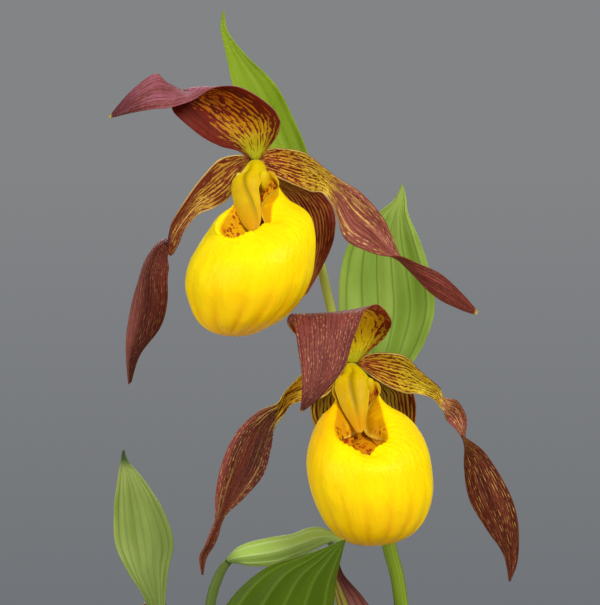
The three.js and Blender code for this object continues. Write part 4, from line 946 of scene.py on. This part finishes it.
for node, rows, look, slot, form in (
        ("ovary_a", OVARY_A, "stem_green", "stem_green", {"ridge": 0.12, "steps": 50}),
        ("ovary_b", OVARY_B, "stem_green", "stem_green", {"ridge": 0.12, "steps": 50}),
        ("bud_left", BUD_LEFT, "bud_green", "bud_green", {"ridge": 0.06, "sides": 36, "steps": 50}),
        ("bud_nodding", BUD_NODDING, "bud_green", "bud_green", {"ridge": 0.06, "sides": 36, "steps": 60}),
        ("stem_main", MAIN_STEM, "stem_green", "stem_green", {"bumps": 0.02, "steps": 160}),
        ("stem_left", LEFT_STEM, "stem_green", "stem_green", {"bumps": 0.02, "steps": 100}),
        ("stem_nodding", NODDING_STEM, "stalk_green", "stem_green", {"bumps": 0.02, "steps": 160})):
    shape = Shape()
    stalk(shape, rows, **form)
    shape.build(node, [look])

# ---------- bracts and leaves: left margin, right margin, sag ----------
BRACT_A = [
    (0.8, 14.9, 403.5, 5.8, 14.9, 404, -1.7), (-2.5, 16.8, 412.5, 6.5, 16.8, 414.5, -2.5),
    (-9, 18.5, 424, 3.5, 18.5, 424, -2.5), (-15, 20, 435.5, -1, 20, 435.5, -2),
    (-19, 20, 446.5, -7, 20, 447, -1.5), (-21, 20, 455.5, -15, 20, 455, -1),
    (-22.5, 20, 463, -20.5, 20, 462, -0.5), (-22, 20, 468, -21.5, 20, 468, 0),
]
BRACT_B = [
    (15.2, 15.2, 345.5, 20.8, 15.2, 346, -1.7), (12.5, 17.5, 355, 26.5, 17.5, 356.5, -2.8),
    (11.5, 21, 363.5, 30, 21, 364.5, -3), (11, 23, 373, 35.5, 23, 373.5, -3),
    (11, 25, 383, 38.5, 25, 383.5, -3), (11.5, 26, 393.5, 37, 26, 394.5, -2.5),
    (14.5, 27, 403, 34, 27, 403.5, -2), (21.5, 27, 410, 31, 27, 410.5, -1),
    (27, 27, 414.5, 30.4, 27, 415, -0.5), (29, 27, 418.8, 29.3, 27, 418.8, 0),
]
BRACT_LEFT = [
    (-41.8, 18.7, 282, -37.6, 18.7, 282, 1.6), (-42.5, 17, 293, -37.5, 17, 292.5, 0.6),
    (-44, 17.5, 300.5, -38.3, 17.5, 299.5, -1), (-49, 19, 308.5, -37.5, 19, 308.5, -1.8),
    (-52.5, 20, 316, -36, 20, 317, -2), (-53, 20, 325.5, -39, 20, 326, -2),
    (-52, 20, 334, -44, 20, 334, -1), (-51, 20, 340, -49, 20, 340, -0.5), (-50.5, 20, 343, -50, 20, 343, 0),
]
BRACT_NODDING = [
    (-20.6, 3, 313.2, -19.5, 3, 312.1, 0.8), (-18.6, 2.6, 315.4, -17, 2.6, 311.6, 1.6),
    (-15.5, 2.4, 317.3, -13, 2.4, 311, 2), (-9, 2, 319, -6, 2, 311.5, 2.4),
    (-2.5, 2, 320, -1.5, 2, 313.5, 2.4), (1.5, 2, 321.5, 2.5, 2, 315, 2.2), (5, 2, 322, 5.5, 2, 316.5, 1.8),
    (8.5, 1.5, 321, 9, 1.5, 318, 1), (12.5, 0, 318.5, 12.5, 0, 318, 0),
]
LEAF_FRONT = [
    (-32.4, 0.4, 249, -25, 0.4, 249, 3.6), (-32.8, -1.2, 258, -21.5, -2.8, 256, 3.5),
    (-30, -8, 270, -11, -9.5, 265, 3), (-28, -14, 281, -4, -15, 273, 3), (-25, -19, 292.5, 4, -20, 284, 3),
    (-19, -23, 303.5, 8.6, -23, 298, 2.5), (-10.5, -25, 311.5, 9.8, -25, 308, 2),
    (0, -26, 315.5, 11, -26, 314, 1), (7, -26, 318, 12, -26, 318, 0.5), (12, -26, 320, 12.5, -26, 320, 0),
]
# Name, stem, height on it, azimuth, length, width, first and last angle above level.
STEM_LEAVES = (
    ("leaf_main_upper", MAIN_STEM, 236, 8, 104, 40, 78, -32),
    ("leaf_main_middle", MAIN_STEM, 190, 100, 120, 50, 80, -28),
    ("leaf_main_lower", MAIN_STEM, 150, -42, 112, 50, 76, -40),
    ("leaf_left_upper", LEFT_STEM, 222, 128, 96, 38, 78, -30),
    ("leaf_left_lower", LEFT_STEM, 165, 172, 110, 46, 76, -38),
    ("leaf_nodding_lower", NODDING_STEM, 178, -112, 108, 46, 76, -36),
)
CLASP_CLEARANCE, CLASP_FLATTENING, SHEATH_LIFT = 0.4, 0.86, 2.3
LEAF_ROWS, LEAF_STEPS, SHEATH_ROWS = 9, 12, 6
# A height on a stem is found by halving, within the share of its length where every stem rises.
STEM_RISING, HALVINGS = 0.75, 30
# Shares of a leaf's length: where it lies open and where it begins to bend. Its sag is a share
# of its half width.
LEAF_OPEN, LEAF_BEND, LEAF_SAG = 0.3, 0.12, 0.22


def pleated(count, depth, ripple=0.0, ripples=0, seed=0):
    """Lengthwise pleats, with margins that ripple as the part's do and wave a little more."""
    def relief(u, v, width):
        ends = fade(v)
        narrow = np.minimum(1, width / 5)
        folds = depth * ends * np.cos(count * np.pi * u) * narrow
        margin = ripple * ends * np.sin(2 * np.pi * ripples * v) * u ** 3
        fine = 0.25 * ends * np.sin(14 * np.pi * v + seed + 2 * (u > 0)) * u ** 6 * narrow
        return folds + margin + fine
    return relief


def stem_at(rows, z):
    """x, y, z and radius of a stem at the height z, below where it nods."""
    low, high = 0.0, STEM_RISING
    for _ in range(HALVINGS):
        middle = (low + high) / 2
        low, high = (middle, high) if along(rows, middle)[0][2] < z else (low, middle)
    return along(rows, low)[0]


def heading(azimuth):
    """Directions outwards and across at an azimuth."""
    c, s = math.cos(math.radians(azimuth)), math.sin(math.radians(azimuth))
    return np.array([c, s, 0]), np.array([-s, c, 0])


def hug(radius):
    """How far from a stem's centre a blade that clasps it lies."""
    return (radius + LEAF_THICKNESS / 2 + CLASP_CLEARANCE) / CLASP_FLATTENING


def stem_leaf(stem, z, azimuth, length, width, rise, fall):
    """Rows of a broad clasping leaf that hugs its stem, then arches away to its tip."""
    x, y, _, radius = stem_at(stem, z)
    out, across = heading(azimuth)
    centre, rows = np.array([x, y, z]), []
    step = 1 / LEAF_STEPS / (LEAF_ROWS - 1)
    for k in range(LEAF_ROWS):
        s = k / (LEAF_ROWS - 1)
        opening = min(1, s / LEAF_OPEN)
        grow = abs(math.sin(math.pi * s ** 0.72)) ** 0.85
        half = max(hug(radius) * (1 - s / 0.5), 0) + (width / 2) * grow + 0.25
        sag = 0 if s == 1 else hug(radius) * (1 - opening) + LEAF_SAG * half * opening
        rows.append([*(centre - across * half), *(centre + across * half), sag])
        for i in range(LEAF_STEPS):
            bend = (max(s + i * step - LEAF_BEND, 0) / (1 - LEAF_BEND)) ** 0.9
            angle = math.radians(rise + (fall - rise) * bend)
            centre = centre + length * step * (out * math.cos(angle) + np.array([0, 0, math.sin(angle)]))
    return rows


def soil_height(x, y):
    return SOIL_LEVEL + 1.2 * np.sin(x / 9) * np.cos(y / 11) + 0.7 * np.sin((x + y) / 5)


def sheath(stem, azimuth, length):
    """Rows of the papery sheath round a shoot's foot."""
    out, across = heading(azimuth)
    x, y, _, radius = stem[1]
    foot = soil_height(x, y) + SHEATH_LIFT
    rows = []
    for k in range(SHEATH_ROWS):
        s = k / (SHEATH_ROWS - 1)
        half = hug(radius) * math.sqrt(1 - s * s) + 0.3
        centre = stem_at(stem, foot + length * s)[:3] + out * hug(radius) * s * s
        rows.append([*(centre - across * half), *(centre + across * half), hug(radius) * (1 - s * s)])
    return rows


for seed, (node, rows, look, count, depth) in enumerate((
        ("bract_a", BRACT_A, "bract_fresh", 4, 0.1),
        ("bract_b", BRACT_B, "bract_soft", 5, 0.2),
        ("bract_left", BRACT_LEFT, "bract_grey", 4, 0.3),
        ("bract_nodding", BRACT_NODDING, "bract_painted_light", 2, 0.3),
        ("leaf_nodding_front", LEAF_FRONT, "leaf_dark", 5, 0.14)), 1):
    blade(node, rows, LEAF_THICKNESS, [look], "leaf_green", pleated(count, depth, seed=seed), LEAF_ACROSS)
for seed, (node, *plan) in enumerate(STEM_LEAVES):
    blade(node, stem_leaf(*plan), LEAF_THICKNESS, ["leaf_green"], "leaf_green",
          pleated(5, 0.6, 0.8, 2, seed), LEAF_ACROSS)
for node, *plan in (("sheath_main", MAIN_STEM, 150, 30), ("sheath_left", LEFT_STEM, -70, 26),
                    ("sheath_nodding", NODDING_STEM, 60, 28)):
    blade(node, sheath(*plan), LEAF_THICKNESS, ["sheath_papery"], "sheath_papery", None, *SHEATH_GRID)

# ---------- pot and soil ----------
POT_SIDES, POT_SHARP_ANGLE = 160, 40
SOIL_RADIUS, SOIL_RINGS, SOIL_EDGE, SOIL_PLAY = 68.5, 110, 4, 0.3
CHIPS, CHIP_SIDES, CHIP_SEED, CHIP_INSET, STEM_CLEARANCE = 900, 6, 7, 4, 5


def pot_profile():
    band = POT_HEIGHT - POT_RIM_HEIGHT
    inner, neck, mouth = POT_FOOT - POT_WALL, POT_RIM - POT_RIM_STEP, POT_RIM - POT_RIM_WIDTH
    return [
        (0.5, 0), (POT_FOOT - POT_EDGE, 0), (POT_FOOT - 0.6, 0.6), (POT_FOOT, POT_EDGE), (neck, band - 0.4),
        (neck + 0.4, band), (POT_RIM - POT_EDGE, band + 0.4), (POT_RIM - 0.7, band + 1.3),
        (POT_RIM - 0.5, band + 3), (POT_RIM, POT_HEIGHT - POT_EDGE), (POT_RIM - 0.5, POT_HEIGHT - 0.6),
        (POT_RIM - POT_EDGE, POT_HEIGHT), (mouth + POT_EDGE, POT_HEIGHT), (mouth + 0.6, POT_HEIGHT - 0.6),
        (mouth, POT_HEIGHT - POT_EDGE), (inner + POT_EDGE, POT_FLOOR + 2 * POT_EDGE),
        (inner - POT_EDGE, POT_FLOOR), (0.5, POT_FLOOR),
    ]


def level_ring(radius, z):
    """Ring round the pot's axis; z is a number or a function of x and y."""
    x, y = radius * np.cos(circle(POT_SIDES)), radius * np.sin(circle(POT_SIDES))
    return np.stack([x, y, z(x, y) if callable(z) else 0 * x + z], -1)


def pot():
    shape = Shape()
    shape.loft(np.array([level_ring(*place) for place in pot_profile()]))
    piece = shape.build("pot", ["clay"])
    piece.data.set_sharp_from_angle(angle=math.radians(POT_SHARP_ANGLE))


def rough_height(x, y):
    """Soil height with clods and grains."""
    clods = 0.5 * np.sin(x * 0.9 + 2 * np.sin(y * 0.41)) * np.sin(y * 0.83 + 1.5 * np.sin(x * 0.37))
    grains = 0.3 * np.sin(x * 2.3 + 1.3 * y) * np.sin(y * 2.9 - 0.7 * x)
    return soil_height(x, y) + clods + grains


def chip(shape, rng, place):
    """A small angular piece of bark or grit, half sunk in the soil."""
    size = rng.uniform(0.8, 2.6) * np.array([1, rng.uniform(0.5, 0.9), rng.uniform(0.3, 0.6)])
    turn = rng.uniform(0, 2 * np.pi)
    angle = circle(CHIP_SIDES)
    rings = []
    for height, scale in ((-1, 0.6), (-0.2, 1), (0.5, 0.85), (1, 0.35)):
        jitter = rng.uniform(0.75, 1.2, CHIP_SIDES) * scale
        x, y = size[0] * jitter * np.cos(angle), size[1] * jitter * np.sin(angle)
        z = size[2] * height * rng.uniform(0.85, 1.1, CHIP_SIDES)
        c, s = math.cos(turn), math.sin(turn)
        rings.append(np.stack([x * c - y * s, x * s + y * c, z], -1))
    shape.loft(np.array(rings) + place + np.array([0, 0, 0.3 * size[2]]), slots=1)


def soil():
    foot, edge = POT_FOOT - POT_WALL - POT_EDGE - 0.8, SOIL_RADIUS + SOIL_PLAY
    rings = [level_ring(radius, rough_height) for radius in np.linspace(0.6, SOIL_RADIUS, SOIL_RINGS)]
    rings.append(level_ring(edge, SOIL_LEVEL - SOIL_EDGE))
    rings.append(level_ring(edge * foot / SOIL_RADIUS, POT_FLOOR + SOIL_PLAY))
    shape = Shape()
    shape.loft(np.array(rings))
    rng = np.random.default_rng(CHIP_SEED)
    for _ in range(CHIPS):
        radius = (SOIL_RADIUS - CHIP_INSET) * math.sqrt(rng.random())
        turn = 2 * math.pi * rng.random()
        x, y = radius * math.cos(turn), radius * math.sin(turn)
        if all(math.hypot(x - at[0], y - at[1]) >= at[3] + STEM_CLEARANCE for _, at, *_ in STEMS):
            chip(shape, rng, np.array([x, y, rough_height(x, y)]))
    shape.build("soil", ["soil", "bark"])


pot()
soil()


# ---------- floor, light and camera, in metres ----------
FLOOR_RADIUS, FLOOR_SIDES, FLOOR_DROP = 0.6, 96, 0.0002
# Name, place, target, size, energy, colour.
LIGHTS = (
    ("key", (0.75, -1.25, 1.35), (0, 0, 0.38), 0.8, 31, (1.0, 0.985, 0.96)),
    ("fill", (-1.2, -1.0, 0.75), (0, 0, 0.36), 1.0, 14, (0.96, 0.98, 1.0)),
    ("back", (-0.3, 1.2, 1.1), (0, 0, 0.38), 0.8, 8, (1.0, 1.0, 1.0)),
)
AMBIENT_COLOUR, AMBIENT_STRENGTH = (0.9, 0.95, 1.0, 1.0), 0.28
# The wall's colours low and high, and the slopes of view between which they blend.
WALL_COLOURS, WALL_SLOPES = ("#707377", "#828486"), (-0.075, 0.03)


def floor():
    mesh = bpy.data.meshes.new("floor")
    rim = [(FLOOR_RADIUS * math.cos(a), FLOOR_RADIUS * math.sin(a), -FLOOR_DROP)
           for a in circle(FLOOR_SIDES)]
    mesh.from_pydata(rim, [], [range(FLOOR_SIDES)])
    p = Paint("floor", 0.7, specular=0.3)
    p.colour = p.mix(p.noise(p.place, 40, detail=4), "#dedcd6", "#e8e6e1")
    p.finish()
    mesh.materials.append(p.material)
    piece = bpy.data.objects.new("floor", mesh)
    bpy.context.scene.collection.objects.link(piece)


def area_light(name, place, target, size, energy, colour):
    data = bpy.data.lights.new(name, "AREA")
    data.shape, data.size, data.energy, data.color = "DISK", size, energy, colour
    light = bpy.data.objects.new(name, data)
    light.location = place
    light.rotation_mode = "QUATERNION"
    light.rotation_quaternion = (Vector(target) - Vector(place)).to_track_quat("-Z", "Y")
    light.visible_camera = False
    bpy.context.scene.collection.objects.link(light)


def world():
    """Soft light all round; the camera sees a grey wall that is a little paler higher up."""
    studio = bpy.data.worlds.new("studio")
    studio.use_nodes = True
    sky = Nodes(studio.node_tree)
    height = sky.add("SeparateXYZ", {0: sky.add("TexCoord", {}, "Generated")}, 2)
    height = sky.add("MapRange", {"Value": height, "From Min": WALL_SLOPES[0], "From Max": WALL_SLOPES[1]})
    wall = sky.add("Background", {0: sky.mix(height, *WALL_COLOURS)})
    light = sky.add("Background", {0: AMBIENT_COLOUR, 1: AMBIENT_STRENGTH})
    seen = sky.add("LightPath", {}, "Is Camera Ray")
    sky.add("OutputWorld", {0: sky.add("MixShader", {0: seen, 1: light, 2: wall})})
    bpy.context.scene.world = studio


def camera():
    data = bpy.data.cameras.new("camera")
    data.sensor_width = SENSOR
    data.lens = SENSOR * VIEW_DISTANCE / (max(PHOTO_WIDTH, PHOTO_HEIGHT) * PIXEL)
    data.clip_start, data.clip_end = CLIP_RANGE
    piece = bpy.data.objects.new("camera", data)
    piece.location = (0, -VIEW_DISTANCE * MM, VIEW_HEIGHT * MM)
    piece.rotation_euler = (math.pi / 2, 0, 0)
    bpy.context.scene.collection.objects.link(piece)
    bpy.context.scene.camera = piece


floor()
for light in LIGHTS:
    area_light(*light)
world()
camera()
bpy.context.scene.view_settings.view_transform = "Standard"
